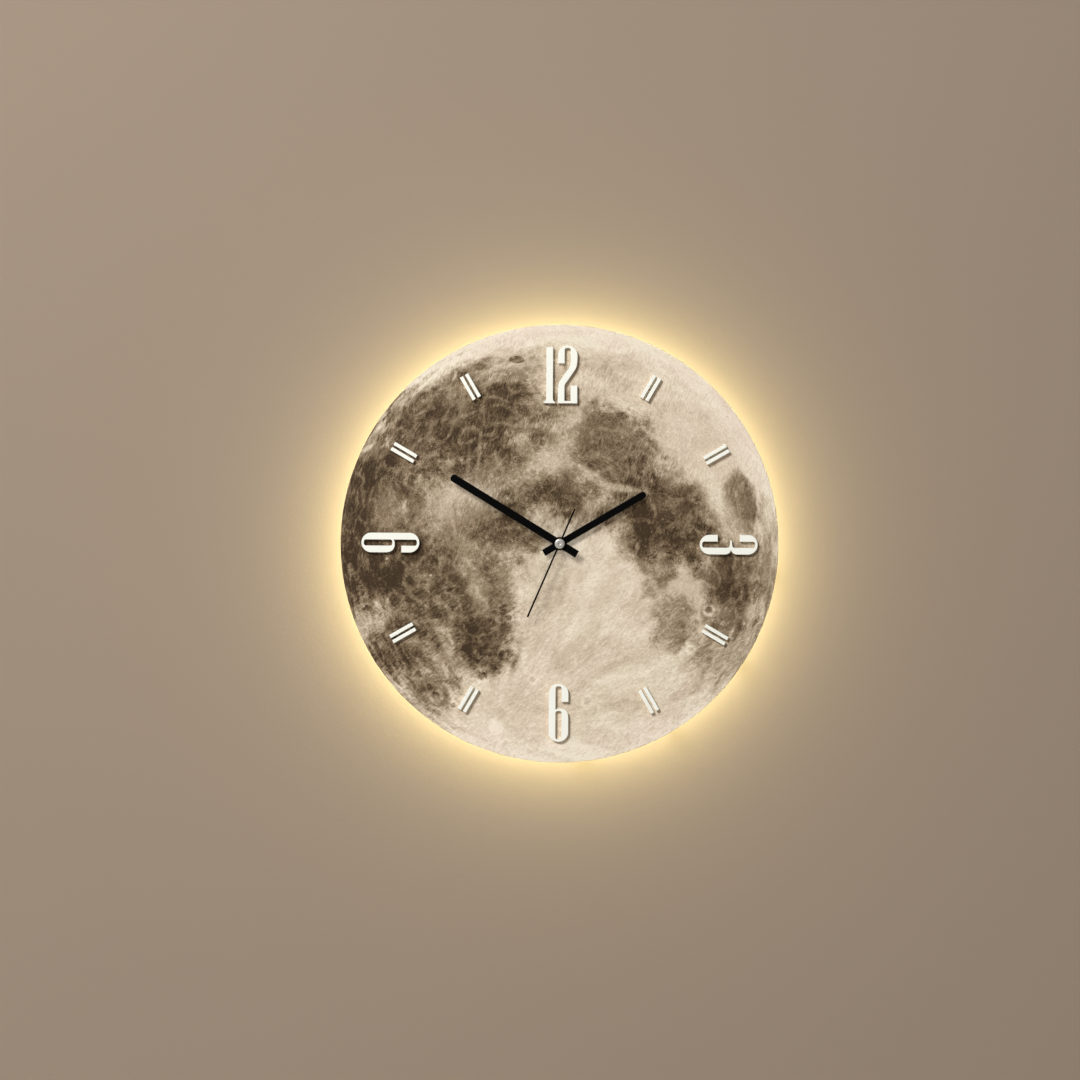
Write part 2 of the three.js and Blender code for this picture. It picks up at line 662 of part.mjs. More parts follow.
function wheel(teeth, module, phase, at, layer) {
  return gear(teeth, module, phase, at, layer, WHEEL_THICKNESS);
}

function pinion(leaves, module, phase, at, layer) {
  return gear(leaves, module, phase, at, layer, PINION_LENGTH);
}

const secondPhase = 0;
const thirdPhase = meshPhase(hub, SECOND_LEAVES, secondPhase, thirdArbor, THIRD_TEETH);
const centrePhase = meshPhase(thirdArbor, THIRD_LEAVES, 0, hub, CENTRE_TEETH);
const stepPhase = meshPhase(hub, SECOND_TEETH, secondPhase, stepArbor, STEP_LEAVES);
const rotorPhase = meshPhase(stepArbor, STEP_TEETH, 0, rotorArbor, ROTOR_LEAVES);
const minutePhase = meshPhase(hub, CANNON_LEAVES, 0, minuteArbor, MINUTE_TEETH);
const hourPhase = meshPhase(minuteArbor, MINUTE_LEAVES, 0, hub, HOUR_TEETH);
const pivotBack = roomBack + RUNNING_GAP;
const layerBack = (layer) => layerLevel(layer) - PINION_LENGTH / 2;
const layerFront = (layer) => layerLevel(layer) + PINION_LENGTH / 2;

place('second_wheel', join(
  wheel(SECOND_TEETH, STEP_MODULE, secondPhase, hub, secondLayer),
  pinion(SECOND_LEAVES, THIRD_MODULE, secondPhase, hub, thirdLayer),
  arbor(hub, SECOND_SHAFT_RADIUS, pivotBack, bossHeadBack - SEAT_GAP),
), brass);

place('third_wheel', join(
  wheel(THIRD_TEETH, THIRD_MODULE, thirdPhase, thirdArbor, thirdLayer),
  pinion(THIRD_LEAVES, centreModule, 0, thirdArbor, centreLayer),
  arbor(thirdArbor, ARBOR_RADIUS, pivotBack, layerFront(centreLayer)),
), naturalPlastic);

place('centre_wheel', cut(
  join(
    wheel(CENTRE_TEETH, centreModule, centrePhase, hub, centreLayer),
    pinion(CANNON_LEAVES, CANNON_MODULE, 0, hub, cannonLayer),
    arbor(hub, minuteTubeRadius, layerLevel(centreLayer), minuteTubeEnd),
  ),
  arbor(hub, minuteTubeBore, layerBack(centreLayer) - CUT_MARGIN, minuteTubeEnd + CUT_MARGIN),
), brass);

place('minute_wheel', join(
  wheel(MINUTE_TEETH, CANNON_MODULE, minutePhase, minuteArbor, cannonLayer),
  pinion(MINUTE_LEAVES, hourModule, 0, minuteArbor, hourLayer),
  arbor(minuteArbor, MINUTE_ARBOR_RADIUS, knobBack, layerLevel(hourLayer)),
), naturalPlastic);

place('hour_wheel', cut(
  join(
    wheel(HOUR_TEETH, hourModule, hourPhase, hub, hourLayer),
    arbor(hub, hourTubeRadius, layerLevel(hourLayer), hourTubeEnd),
  ),
  arbor(hub, hourTubeBore, layerBack(hourLayer) - CUT_MARGIN, hourTubeEnd + CUT_MARGIN),
), naturalPlastic);

place('step_wheel', cut(
  join(
    wheel(STEP_TEETH, ROTOR_MODULE, 0, stepArbor, STEP_LAYER),
    pinion(STEP_LEAVES, STEP_MODULE, stepPhase, stepArbor, secondLayer),
    arbor(stepArbor, ARBOR_RADIUS, layerLevel(STEP_LAYER), layerLevel(secondLayer)),
  ),
  arbor(stepArbor, PIN_RADIUS + PIN_GAP, roomBack, layerFront(secondLayer) + CUT_MARGIN),
), naturalPlastic);

const magnetBack = layerFront(STEP_LAYER) + RUNNING_GAP;
place('rotor', cut(
  join(
    pinion(ROTOR_LEAVES, ROTOR_MODULE, rotorPhase, rotorArbor, STEP_LAYER),
    arbor(rotorArbor, ARBOR_RADIUS, layerLevel(STEP_LAYER), magnetBack + JOIN_DEPTH),
    arbor(rotorArbor, MAGNET_RADIUS, magnetBack, magnetBack + MAGNET_LENGTH),
  ),
  arbor(rotorArbor, PIN_RADIUS + PIN_GAP, roomBack, magnetBack + MAGNET_LENGTH + CUT_MARGIN),
), steel);

// Setting knob, grooved round the rim and pressed on the minute wheel's arbor
const knobRim = Array.from({ length: 2 * KNOB_GROOVES }, (_, i) => {
  const angle = i * FULL_TURN / (2 * KNOB_GROOVES);
  const radius = KNOB_RADIUS - (i % 2) * KNOB_GROOVE;
  return [minuteArbor.x + radius * Math.cos(angle), minuteArbor.y + radius * Math.sin(angle)];
});
const knobBore = circle(MINUTE_ARBOR_RADIUS + PRESS_GAP, SMALL_SIDES, minuteArbor.x, minuteArbor.y);
place('setting_knob', extrude(outline(knobRim, [knobBore]), knobBack, KNOB_HEIGHT), redPlastic);

// Stepper motor
place('motor_stator', extrude(outline([
  [statorLeft, rotorArbor.y - statorHalf],
  [statorRight, rotorArbor.y - statorHalf],
  [statorRight, statorTop],
  [statorRight - STATOR_LEG, statorTop],
  [statorRight - STATOR_LEG, rotorArbor.y + statorHalf],
  [statorLeft + STATOR_LEG, rotorArbor.y + statorHalf],
  [statorLeft + STATOR_LEG, statorTop],
  [statorLeft, statorTop],
], [circle(statorHole, ROUND_SIDES, rotorArbor.x, rotorArbor.y)]), statorBack, STATOR_THICKNESS), steel);

place('coil_core', extrude(
  rectangle(statorLeft, coilY - CORE_WIDTH / 2, statorRight, coilY + CORE_WIDTH / 2),
  coreMiddle - CORE_THICKNESS / 2,
  CORE_THICKNESS,
), steel);

const coilLength = 2 * (STATOR_REACH - STATOR_LEG - SLIP_GAP);
const coilBore = rectangle(
  -CORE_THICKNESS / 2 - RUNNING_GAP,
  -CORE_WIDTH / 2 - RUNNING_GAP,
  CORE_THICKNESS / 2 + RUNNING_GAP,
  CORE_WIDTH / 2 + RUNNING_GAP,
);
const coil = extrude(circle(COIL_RADIUS, ROUND_SIDES, 0, 0, [coilBore]), -coilLength / 2, coilLength);
coil.rotateY(Math.PI / 2);
place('motor_coil', coil.translate(rotorArbor.x, coilY, coreMiddle), copper);

// Circuit board with its chip and crystal
const boardBack = roomBack + POST_RADIUS + SEAT_GAP;
const boardFront = boardBack + BOARD_THICKNESS;
const boardBottom = boardTop - BOARD_WIDTH;
place('circuit_board', extrude(
  rectangle(boardLeft, boardBottom, boardLeft + BOARD_LENGTH, boardTop),
  boardBack,
  BOARD_THICKNESS,
), circuitGreen);
const chipPlace = { x: boardLeft + BOARD_LENGTH / 2, y: boardBottom + CHIP_RADIUS + SLIP_GAP };
place('clock_chip', arbor(chipPlace, CHIP_RADIUS, boardFront + SEAT_GAP, boardFront + SEAT_GAP + CHIP_HEIGHT),
  blackPlastic);
const crystal = extrude(circle(CRYSTAL_RADIUS, SMALL_SIDES), 0, CRYSTAL_LENGTH).rotateY(Math.PI / 2);
place('quartz_crystal', crystal.translate(
  boardLeft + (BOARD_LENGTH - CRYSTAL_LENGTH) / 2,
  boardTop - CRYSTAL_RADIUS - SLIP_GAP,
  boardFront + SEAT_GAP + CRYSTAL_RADIUS,
), steel);

// Movement case: a tray with a room for the train and a bay for the battery, closed behind the train
const caseDepth = caseFront - caseBack;
const roomDepth = roomFront - caseBack;
const casePosts = [[-1, roomBottom], [1, roomBottom], [-1, roomTop], [1, roomTop]].map(([side, y]) => {
  const x = side * roomHalf;
  const inX = x - side * CASE_POST;
  const inY = y === roomTop ? y - CASE_POST : y + CASE_POST;
  const edge = [Math.min(x, inX), Math.min(y, inY), Math.max(x, inX), Math.max(y, inY)];
  const [left, bottom, right, upper] = edge;
  const shape = rectangle(left - JOIN_DEPTH, bottom - JOIN_DEPTH, right + JOIN_DEPTH, upper + JOIN_DEPTH);
  return extrude(shape, roomBack + SEAT_GAP, roomFront - roomBack);
});
const emptyCase = cut(
  extrude(rectangle(-caseHalf, caseBottom, caseHalf, caseTop), caseBack, caseDepth),
  extrude(rectangle(-roomHalf, roomBottom, roomHalf, roomTop), caseBack - CUT_MARGIN, roomDepth + CUT_MARGIN),
  extrude(rectangle(-bayHalf, bayBottom, bayHalf, bayTop), caseBack - CUT_MARGIN, roomDepth + CUT_MARGIN),
);
place('case_front', cut(
  join(
    emptyCase,
    extrude(circle(stemRadius), roomFront + CASE_WALL / 2, stemEnd - roomFront - CASE_WALL / 2),
    ...casePosts,
  ),
  through(circle(stemBore), roomFront, stemEnd - roomFront),
), blackPlastic);

const bearing = (at, end) => arbor(at, bearingRadius, roomBack - JOIN_DEPTH, end);
const post = (x, y, radius, end) => arbor({ x, y }, radius, roomBack - JOIN_DEPTH, end);
const postInset = POST_RADIUS + SLIP_GAP;
place('case_back', cut(
  join(
    extrude(rectangle(
      -roomHalf + SLIP_GAP,
      roomBottom + SLIP_GAP,
      roomHalf - SLIP_GAP,
      roomTop - SLIP_GAP,
    ), caseBack, CASE_WALL),
    bearing(hub, layerBack(secondLayer) - RUNNING_GAP),
    bearing(thirdArbor, layerBack(thirdLayer) - RUNNING_GAP),
    post(minuteArbor.x, minuteArbor.y, minuteArborBore + BEARING_WALL, layerLevel(STEP_LAYER)),
    post(stepArbor.x, stepArbor.y, PIN_RADIUS, layerFront(secondLayer)),
    post(rotorArbor.x, rotorArbor.y, PIN_RADIUS, magnetBack + MAGNET_LENGTH),
    post(statorLeft + postInset, rotorArbor.y, POST_RADIUS, statorBack - SEAT_GAP),
    post(statorRight - postInset, rotorArbor.y, POST_RADIUS, statorBack - SEAT_GAP),
    post(boardLeft + postInset, boardBottom + postInset, POST_RADIUS, boardBack - SEAT_GAP),
    post(boardLeft + BOARD_LENGTH - postInset, boardTop - postInset, POST_RADIUS, boardBack - SEAT_GAP),
  ),
  arbor(hub, SECOND_SHAFT_RADIUS + RUNNING_GAP, pivotBack - RUNNING_GAP / 2, layerLevel(secondLayer)),
  arbor(thirdArbor, arborBore, pivotBack - RUNNING_GAP / 2, layerLevel(thirdLayer)),
  arbor(minuteArbor, minuteArborBore, caseBack - CUT_MARGIN, layerLevel(secondLayer)),
), blackPlastic);

// Sticky pad between the case and the dial
place('movement_pad', extrude(rectangle(
  -caseHalf + PAD_MARGIN,
  caseBottom + PAD_MARGIN,
  caseHalf - PAD_MARGIN,
  caseTop - PAD_MARGIN,
  [circle(stemRadius + SLIP_GAP)],
), caseFront + SEAT_GAP, PAD_THICKNESS), blackFoam);

// Battery and its contacts
const batteryBody = extrude(circle(BATTERY_RADIUS), 0, BATTERY_LENGTH - BATTERY_NUB);
const batteryNub = extrude(circle(BATTERY_NUB_RADIUS, SMALL_SIDES), -BATTERY_NUB, BATTERY_NUB + JOIN_DEPTH);
place('aa_battery', join(batteryBody, batteryNub)
  .rotateY(Math.PI / 2)
  .translate(batteryLeft + BATTERY_NUB, batteryY, batteryZ), batteryWrap);

const contactBottom = batteryY - CONTACT_SIZE / 2;
const contactTop = batteryY + CONTACT_SIZE / 2;
const contactBack = batteryZ - CONTACT_SIZE / 2;
const plateLeft = -bayHalf + SEAT_GAP;
place('battery_plate', extrude(
  rectangle(plateLeft, contactBottom, plateLeft + CONTACT_THICKNESS, contactTop),
  contactBack,
  CONTACT_SIZE,
), polishedSteel);

// The spring is a leaf folded once: it stands on the bay's end wall and leans on the battery
const springRight = bayHalf - SEAT_GAP;
const springReach = springRight - (batteryLeft + BATTERY_LENGTH) - SLIP_GAP;
place('battery_spring', extrude(outline([
  [springRight - CONTACT_THICKNESS, contactBottom],
  [springRight, contactBottom],
  [springRight, contactTop],
  [springRight - CONTACT_THICKNESS, contactTop],
  [springRight - springReach, batteryY + CONTACT_THICKNESS],
  [springRight - springReach, batteryY - CONTACT_THICKNESS],
  [springRight - springReach + CONTACT_THICKNESS, batteryY - CONTACT_THICKNESS],
  [springRight - springReach + CONTACT_THICKNESS, batteryY],
  [springRight - CONTACT_THICKNESS, contactTop - 2 * CONTACT_THICKNESS],
]), contactBack, CONTACT_SIZE), polishedSteel);

// Drum: an open ring with a flange for the tape and bosses for the cover's screws
const drumDepth = drumFront - seatOnCover;
const screwPlaces = Array.from({ length: SCREW_COUNT }, (_, i) => (
  toward(hub, screwRing, SCREW_START + i * 360 / SCREW_COUNT)
));
const screwHoleEnd = seatOnCover + SCREW_LENGTH + SLIP_GAP;
const screwHole = (at) => arbor(at, SCREW_RADIUS + PRESS_GAP, seatOnCover - CUT_MARGIN, screwHoleEnd);
const leadHole = extrude(circle(LEAD_RADIUS + SLIP_GAP, SMALL_SIDES), 0, DRUM_WALL + 2 * CUT_MARGIN)
  .rotateX(Math.PI / 2)
  .translate(0, -drumInner + CUT_MARGIN, leadZ);
place('back_housing', cut(
  join(
    extrude(ring(DRUM_RADIUS, drumInner, FINE_SIDES), seatOnCover, drumDepth),
    extrude(
      ring(drumInner + JOIN_DEPTH, drumInner - FLANGE_WIDTH, FINE_SIDES),
      drumFront - FLANGE_THICKNESS,
      FLANGE_THICKNESS,
    ),
    ...screwPlaces.map((at) => arbor(at, SCREW_BOSS_RADIUS, seatOnCover, drumFront)),
  ),
  ...screwPlaces.map(screwHole),
  leadHole,
), whitePlastic);

place('foam_tape_ring', extrude(
  ring(DRUM_RADIUS - TAPE_MARGIN, drumInner - FLANGE_WIDTH + TAPE_MARGIN, FINE_SIDES),
  drumFront + SEAT_GAP,
  TAPE_THICKNESS,
), blackFoam);

// Rear cover: keyholes to hang by, a window on the battery, a hole over the knob, and the cable way
function keyhole(x) {
  const slot = KEYHOLE_SLOT_WIDTH / 2;
  const meet = THREE.MathUtils.radToDeg(Math.asin(slot / KEYHOLE_HEAD_RADIUS));
  return outline([
    ...arc(x, KEYHOLE_HEIGHT, KEYHOLE_HEAD_RADIUS, KEYHOLE_HEAD_RADIUS, 90 + meet, 450 - meet, 2 * ARC_STEPS),
    ...arc(x, KEYHOLE_HEIGHT + KEYHOLE_RISE, slot, slot, 0, 180),
  ]);
}

function screwCone(at, bottom, grow) {
  const radii = [SCREW_RADIUS + grow, SCREW_HEAD_RADIUS + grow];
  const cone = new THREE.CylinderGeometry(...radii, SCREW_HEAD_HEIGHT, SMALL_SIDES);
  return cone.rotateX(Math.PI / 2).translate(at.x, at.y, bottom + SCREW_HEAD_HEIGHT / 2);
}

const coverCut = (shape) => through(shape, 0, COVER_THICKNESS);
const windowHalf = BATTERY_LENGTH / 2 + BATTERY_WINDOW_MARGIN;
const batteryWindow = rectangle(
  -windowHalf,
  batteryY - BATTERY_RADIUS - BATTERY_WINDOW_MARGIN,
  windowHalf,
  batteryY + BATTERY_RADIUS,
);
const countersink = (at) => arbor(at, SCREW_HEAD_RADIUS + SLIP_GAP, -CUT_MARGIN, SCREW_RECESS);
place('rear_cover', cut(
  extrude(circle(DRUM_RADIUS, FINE_SIDES), 0, COVER_THICKNESS),
  coverCut(keyhole(-KEYHOLE_SPREAD)),
  coverCut(keyhole(KEYHOLE_SPREAD)),
  coverCut(batteryWindow),
  coverCut(circle(KNOB_RADIUS + KNOB_HOLE_MARGIN, ROUND_SIDES, minuteArbor.x, minuteArbor.y)),
  coverCut(circle(GROMMET_RADIUS, ROUND_SIDES, terminalX, grommetY)),
  ...screwPlaces.map((at) => coverCut(circle(SCREW_RADIUS + SLIP_GAP, SMALL_SIDES, at.x, at.y))),
  ...screwPlaces.map((at) => screwCone(at, SCREW_RECESS - SAME_POINT, SLIP_GAP)),
  ...screwPlaces.map(countersink),
), whitePlastic);

screwPlaces.forEach((at, i) => {
  const head = screwCone(at, SCREW_RECESS, 0);
  const headFront = SCREW_RECESS + SCREW_HEAD_HEIGHT;
  const shank = arbor(at, SCREW_RADIUS - PRESS_GAP, headFront - JOIN_DEPTH, SCREW_LENGTH);
  const slotHalf = SCREW_SLOT_WIDTH / 2;
  const slot = extrude(
    rectangle(at.x - SCREW_HEAD_RADIUS, at.y - slotHalf, at.x + SCREW_HEAD_RADIUS, at.y + slotHalf),
    SCREW_RECESS - CUT_MARGIN,
    SCREW_SLOT_DEPTH + CUT_MARGIN,
  );
  place(`cover_screw_${i + 1}`, cut(join(head, shank), slot), steel);
});

const grommetNeck = GROMMET_RADIUS - PRESS_GAP;
place('cable_grommet', cut(
  join(
    extrude(circle(grommetNeck, ROUND_SIDES, terminalX, grommetY), 0, seatOnCover + JOIN_DEPTH),
    extrude(circle(GROMMET_RADIUS + GROMMET_FLANGE, ROUND_SIDES, terminalX, grommetY),
      seatOnCover, GROMMET_FLANGE_THICKNESS),
  ),
  through(circle(GROMMET_BORE, ROUND_SIDES, terminalX, grommetY), 0, seatOnCover + GROMMET_FLANGE_THICKNESS),
), blackRubber);

// Light: a strip of chips round the drum, facing out
function bandShape(innerRadius, outerRadius) {
  const open = THREE.MathUtils.radToDeg(STRIP_END_GAP / 2 / innerRadius);
  const from = -90 + open;
  const to = 270 - open;
  return outline([
    ...arc(0, 0, outerRadius, outerRadius, from, to, FINE_SIDES),
    ...arc(0, 0, innerRadius, innerRadius, to, from, FINE_SIDES),
  ]);
}

const chipStep = 360 / LED_COUNT;
const chipMiddle = stripBack + STRIP_WIDTH / 2;
const chips = Array.from({ length: LED_COUNT }, (_, i) => {
  const depth = STRIP_THICKNESS / 2 + LED_HEIGHT;
  const chip = new THREE.BoxGeometry(depth, LED_LENGTH, LED_WIDTH);
  chip.translate(stripOuter - STRIP_THICKNESS / 2 + depth / 2, 0, chipMiddle);
  return chip.rotateZ(radians(-90 + (i + 0.5) * chipStep));
});
place('led_strip', join(
  extrude(bandShape(stripInner / Math.cos(Math.PI / FINE_SIDES), stripOuter / Math.cos(Math.PI / FINE_SIDES)),
    stripBack, STRIP_WIDTH),
  ...chips,
), warmLight);

// Driver and terminal block on the rear cover
function roundedBox(left, bottom, right, upper, round) {
  return outline([
    ...arc(right - round, bottom + round, round, round, -90, 0, ARC_STEPS / 2),
    ...arc(right - round, upper - round, round, round, 0, 90, ARC_STEPS / 2),
    ...arc(left + round, upper - round, round, round, 90, 180, ARC_STEPS / 2),
    ...arc(left + round, bottom + round, round, round, 180, 270, ARC_STEPS / 2),
  ]);
}

place('led_driver', extrude(roundedBox(
  -DRIVER_LENGTH / 2,
  driverY - DRIVER_WIDTH / 2,
  DRIVER_LENGTH / 2,
  driverY + DRIVER_WIDTH / 2,
  DRIVER_ROUND,
), seatOnCover, DRIVER_HEIGHT), whitePlastic);

const wellLevel = seatOnCover + TERMINAL_HEIGHT - TERMINAL_WELL_DEPTH;
const terminalWells = [-TERMINAL_LENGTH / 4, TERMINAL_LENGTH / 4].map((shift) => extrude(
  circle(TERMINAL_WELL_RADIUS, SMALL_SIDES, terminalX + shift, terminalY),
  wellLevel,
  TERMINAL_WELL_DEPTH + CUT_MARGIN,
));
place('terminal_block', cut(
  extrude(rectangle(
    terminalX - TERMINAL_LENGTH / 2,
    terminalY - TERMINAL_WIDTH / 2,
    terminalX + TERMINAL_LENGTH / 2,
    terminalY + TERMINAL_WIDTH / 2,
  ), seatOnCover, TERMINAL_HEIGHT),
  ...terminalWells,
), naturalPlastic);

// Leads inside the drum
function lead(points) {
  const route = new THREE.CatmullRomCurve3(points.map(([x, y, z]) => new THREE.Vector3(x, y, z)));
  return new THREE.ExtrudeGeometry(circle(LEAD_RADIUS, LEAD_SIDES), {
    steps: LEAD_STEPS,
    extrudePath: route,
    bevelEnabled: false,
  });
}

const driverEdge = driverY - DRIVER_WIDTH / 2 - SLIP_GAP;
const stripMeet = -stripOuter;
place('strip_lead', lead([
  [0, driverEdge, leadZ],
  [0, driverEdge - LEAD_SLACK, leadZ],
  [LEAD_SLACK, (driverEdge - drumInner) / 2, leadZ],
  [0, -drumInner + LEAD_SLACK, leadZ],
  [0, stripMeet, leadZ],
]), blackRubber);

const driverEnd = DRIVER_LENGTH / 2 + SLIP_GAP;
const terminalEnd = terminalX - TERMINAL_LENGTH / 2 - SLIP_GAP;
place('feed_lead', lead([
  [driverEnd, driverY, leadZ],
  [driverEnd + LEAD_SLACK / 2, driverY, leadZ],
  [(driverEnd + terminalEnd) / 2, (driverY + terminalY) / 2, leadZ],
  [terminalEnd - LEAD_SLACK / 2, terminalY, leadZ],
  [terminalEnd, terminalY, leadZ],
]), blackRubber);

export default clock;
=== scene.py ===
"""Looks of a lit moon wall clock, built round its CAD solids.

Metres, in the frame of the solids: the wall is the plane y = 0, the dial faces -Y and +Z is up.
"""

import json
import math
from collections import namedtuple

import bmesh
import bpy
from bpy.props import FloatProperty, FloatVectorProperty, IntProperty, PointerProperty
from mathutils import Matrix, Vector

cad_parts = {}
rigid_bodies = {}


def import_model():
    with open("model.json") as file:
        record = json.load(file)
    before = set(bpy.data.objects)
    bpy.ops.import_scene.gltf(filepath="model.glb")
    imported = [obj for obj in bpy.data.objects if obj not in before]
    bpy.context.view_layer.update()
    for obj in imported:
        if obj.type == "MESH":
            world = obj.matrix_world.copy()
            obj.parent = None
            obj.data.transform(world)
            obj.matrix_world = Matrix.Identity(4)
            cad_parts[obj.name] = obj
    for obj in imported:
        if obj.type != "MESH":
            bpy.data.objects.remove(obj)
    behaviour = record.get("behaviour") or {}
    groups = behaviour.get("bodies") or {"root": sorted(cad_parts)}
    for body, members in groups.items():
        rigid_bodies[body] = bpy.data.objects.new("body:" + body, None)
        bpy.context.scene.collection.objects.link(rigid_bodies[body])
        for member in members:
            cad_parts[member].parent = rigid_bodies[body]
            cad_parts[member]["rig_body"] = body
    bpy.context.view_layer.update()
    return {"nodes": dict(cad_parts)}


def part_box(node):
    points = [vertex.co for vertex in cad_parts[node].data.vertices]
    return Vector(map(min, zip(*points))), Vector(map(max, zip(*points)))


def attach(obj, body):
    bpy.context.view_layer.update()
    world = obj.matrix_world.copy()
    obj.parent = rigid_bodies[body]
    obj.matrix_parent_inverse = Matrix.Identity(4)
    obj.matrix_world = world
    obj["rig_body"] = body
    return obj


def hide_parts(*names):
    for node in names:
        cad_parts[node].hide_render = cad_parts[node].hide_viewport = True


bl_info = {
    "name": "Moon wall clock",
    "version": (1, 0, 0),
    "blender": (4, 5, 0),
    "location": "View3D > Sidebar > Moon clock",
    "description": "Finishes of a round wall clock with a lunar dial and a halo light",
    "category": "Object",
}

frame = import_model()
NODES = frame["nodes"]

MM = 0.001
WELD = 0.002 * MM
FLAT_ANGLE = math.radians(1)
EDGE_ANGLE = math.radians(35)
DIAL_SIDES = 256
ROUND_SIDES = 96
LED_COUNT = 40
NOISE_MEAN = 0.5

LOW_DIAL, HIGH_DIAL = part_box("dial_panel")
DIAL_RADIUS = HIGH_DIAL.x
DIAL_FRONT = LOW_DIAL.y


def srgb(red, green, blue):
    """A colour picked from 0 to 255 as the linear values that shaders take."""
    def linear(level):
        share = level / 255
        return share / 12.92 if share <= 0.04045 else ((share + 0.055) / 1.055) ** 2.4
    return linear(red), linear(green), linear(blue)


def colour(name, description, red, green, blue):
    """A colour setting with its default picked from 0 to 255."""
    return FloatVectorProperty(
        name=name,
        description=description,
        subtype="COLOR",
        size=3,
        min=0,
        max=1,
        default=srgb(red, green, blue),
    )


def length(name, description, millimetres):
    """A length setting with its default in millimetres."""
    return FloatProperty(
        name=name,
        description=description,
        unit="LENGTH",
        subtype="DISTANCE",
        min=0,
        default=millimetres * MM,
    )


# Settings

class PrintSettings(bpy.types.PropertyGroup):
    """The lunar print on the dial."""

    deep: colour("Deepest shade", "Darkest tone, at the western limb", 62, 47, 31)
    sea: colour("Sea", "Floor of the lunar seas", 104, 86, 63)
    shore: colour("Shore", "Half-tone between sea and upland", 154, 136, 112)
    upland: colour("Upland", "Cratered uplands", 214, 198, 176)
    bright: colour("Ray", "Young craters and their rays", 242, 230, 212)
    board: colour("Board", "Edge of the panel", 226, 220, 208)
    back: colour("Back", "Back of the panel", 82, 70, 62)
    edge: length("Edge round", "Rounding of the panel's edge", 0.5)


class FigureSettings(bpy.types.PropertyGroup):
    """The raised figures and hour bars."""

    ivory: colour("Ivory", "Face of the cut acrylic", 249, 249, 239)
    edge: length("Edge round", "Rounding of the cut edges", 0.22)


class HandSettings(bpy.types.PropertyGroup):
    """The hands and their silver boss."""

    black: colour("Black", "Paint of the hands", 4, 4, 4)
    silver: colour("Silver", "Turned boss", 208, 205, 198)
    edge: length("Edge round", "Rounding of the stamped edges", 0.16)


class CaseSettings(bpy.types.PropertyGroup):
    """The drum, its cover and the quartz movement."""

    white: colour("White", "Drum, rear cover and driver", 222, 218, 208)
    black: colour("Black", "Movement case", 32, 32, 34)
    natural: colour("Natural", "Uncoloured mouldings", 216, 211, 196)
    knob: colour("Knob", "Setting knob", 150, 44, 38)
    sleeve: colour("Sleeve", "Sleeve of the battery", 38, 74, 112)
    band: colour("Band", "Band at the battery's positive end", 196, 150, 82)
    edge: length("Edge round", "Rounding of the moulded edges", 0.4)


class GlowSettings(bpy.types.PropertyGroup):
    """The strip of light round the drum."""

    warm: FloatVectorProperty(
        name="Glow", description="Colour of the lit chips", subtype="COLOR", size=3, min=0, max=1,
        default=(1.0, 0.97, 0.52),
    )
    strength: FloatProperty(name="Strength", description="Brightness of the lit chips", min=0, default=1620)
    chips: IntProperty(name="Chips", description="Number of chips on the strip", min=1, default=LED_COUNT)


class StageSettings(bpy.types.PropertyGroup):
    """The wall, the lamps and the camera."""

    wall: colour("Wall", "Paint of the wall", 153, 137, 121)
    floor: colour("Floor", "Pale floor below the clock", 226, 220, 210)
    key: FloatProperty(name="Key", description="Power of the crisp lamp", unit="POWER", min=0, default=30.9)
    soft: FloatProperty(
        name="Soft", description="Power of the soft lamp", unit="POWER", min=0, default=65.5
    )
    fill: FloatProperty(name="Fill", description="Strength of the light all round", min=0, default=0.134)
    rear: FloatProperty(
        name="Rear", description="Power of each lamp behind the wall", unit="POWER", min=0, default=23
    )
    width: length("View width", "Width of the view at the dial", 739.7)
    aim_x: length("Aim", "How far the view's middle lies left of the hands", 13.4)
    aim_z: length("Rise", "How far the view's middle lies above the hands", 2.4)
    roll: FloatProperty(
        name="Roll",
        description="Tilt of the camera",
        unit="ROTATION",
        subtype="ANGLE",
        default=math.radians(-0.37),
    )
    lens: FloatProperty(name="Lens", description="Focal length", unit="CAMERA", min=1, default=80)


class ClockSettings(bpy.types.PropertyGroup):
    """All settings of the clock."""

    dial: PointerProperty(type=PrintSettings)
    figures: PointerProperty(type=FigureSettings)
    hands: PointerProperty(type=HandSettings)
    case: PointerProperty(type=CaseSettings)
    glow: PointerProperty(type=GlowSettings)
    stage: PointerProperty(type=StageSettings)


def settings():
    """The clock's settings in this scene."""
    return bpy.context.scene.moon_clock


# Shader expressions

class Value:
    """A shader socket that joins in arithmetic: each step adds a Math node."""

    def __init__(self, nodes, socket):
        self.nodes = nodes
        self.socket = socket

    def __add__(self, other):
        return self.nodes.math("ADD", self, other)

    __radd__ = __add__

    def __sub__(self, other):
        return self.nodes.math("SUBTRACT", self, other)

    def __rsub__(self, other):
        return self.nodes.math("SUBTRACT", other, self)

    def __mul__(self, other):
        return self.nodes.math("MULTIPLY", self, other)

    __rmul__ = __mul__

    def __truediv__(self, other):
        return self.nodes.math("DIVIDE", self, other)


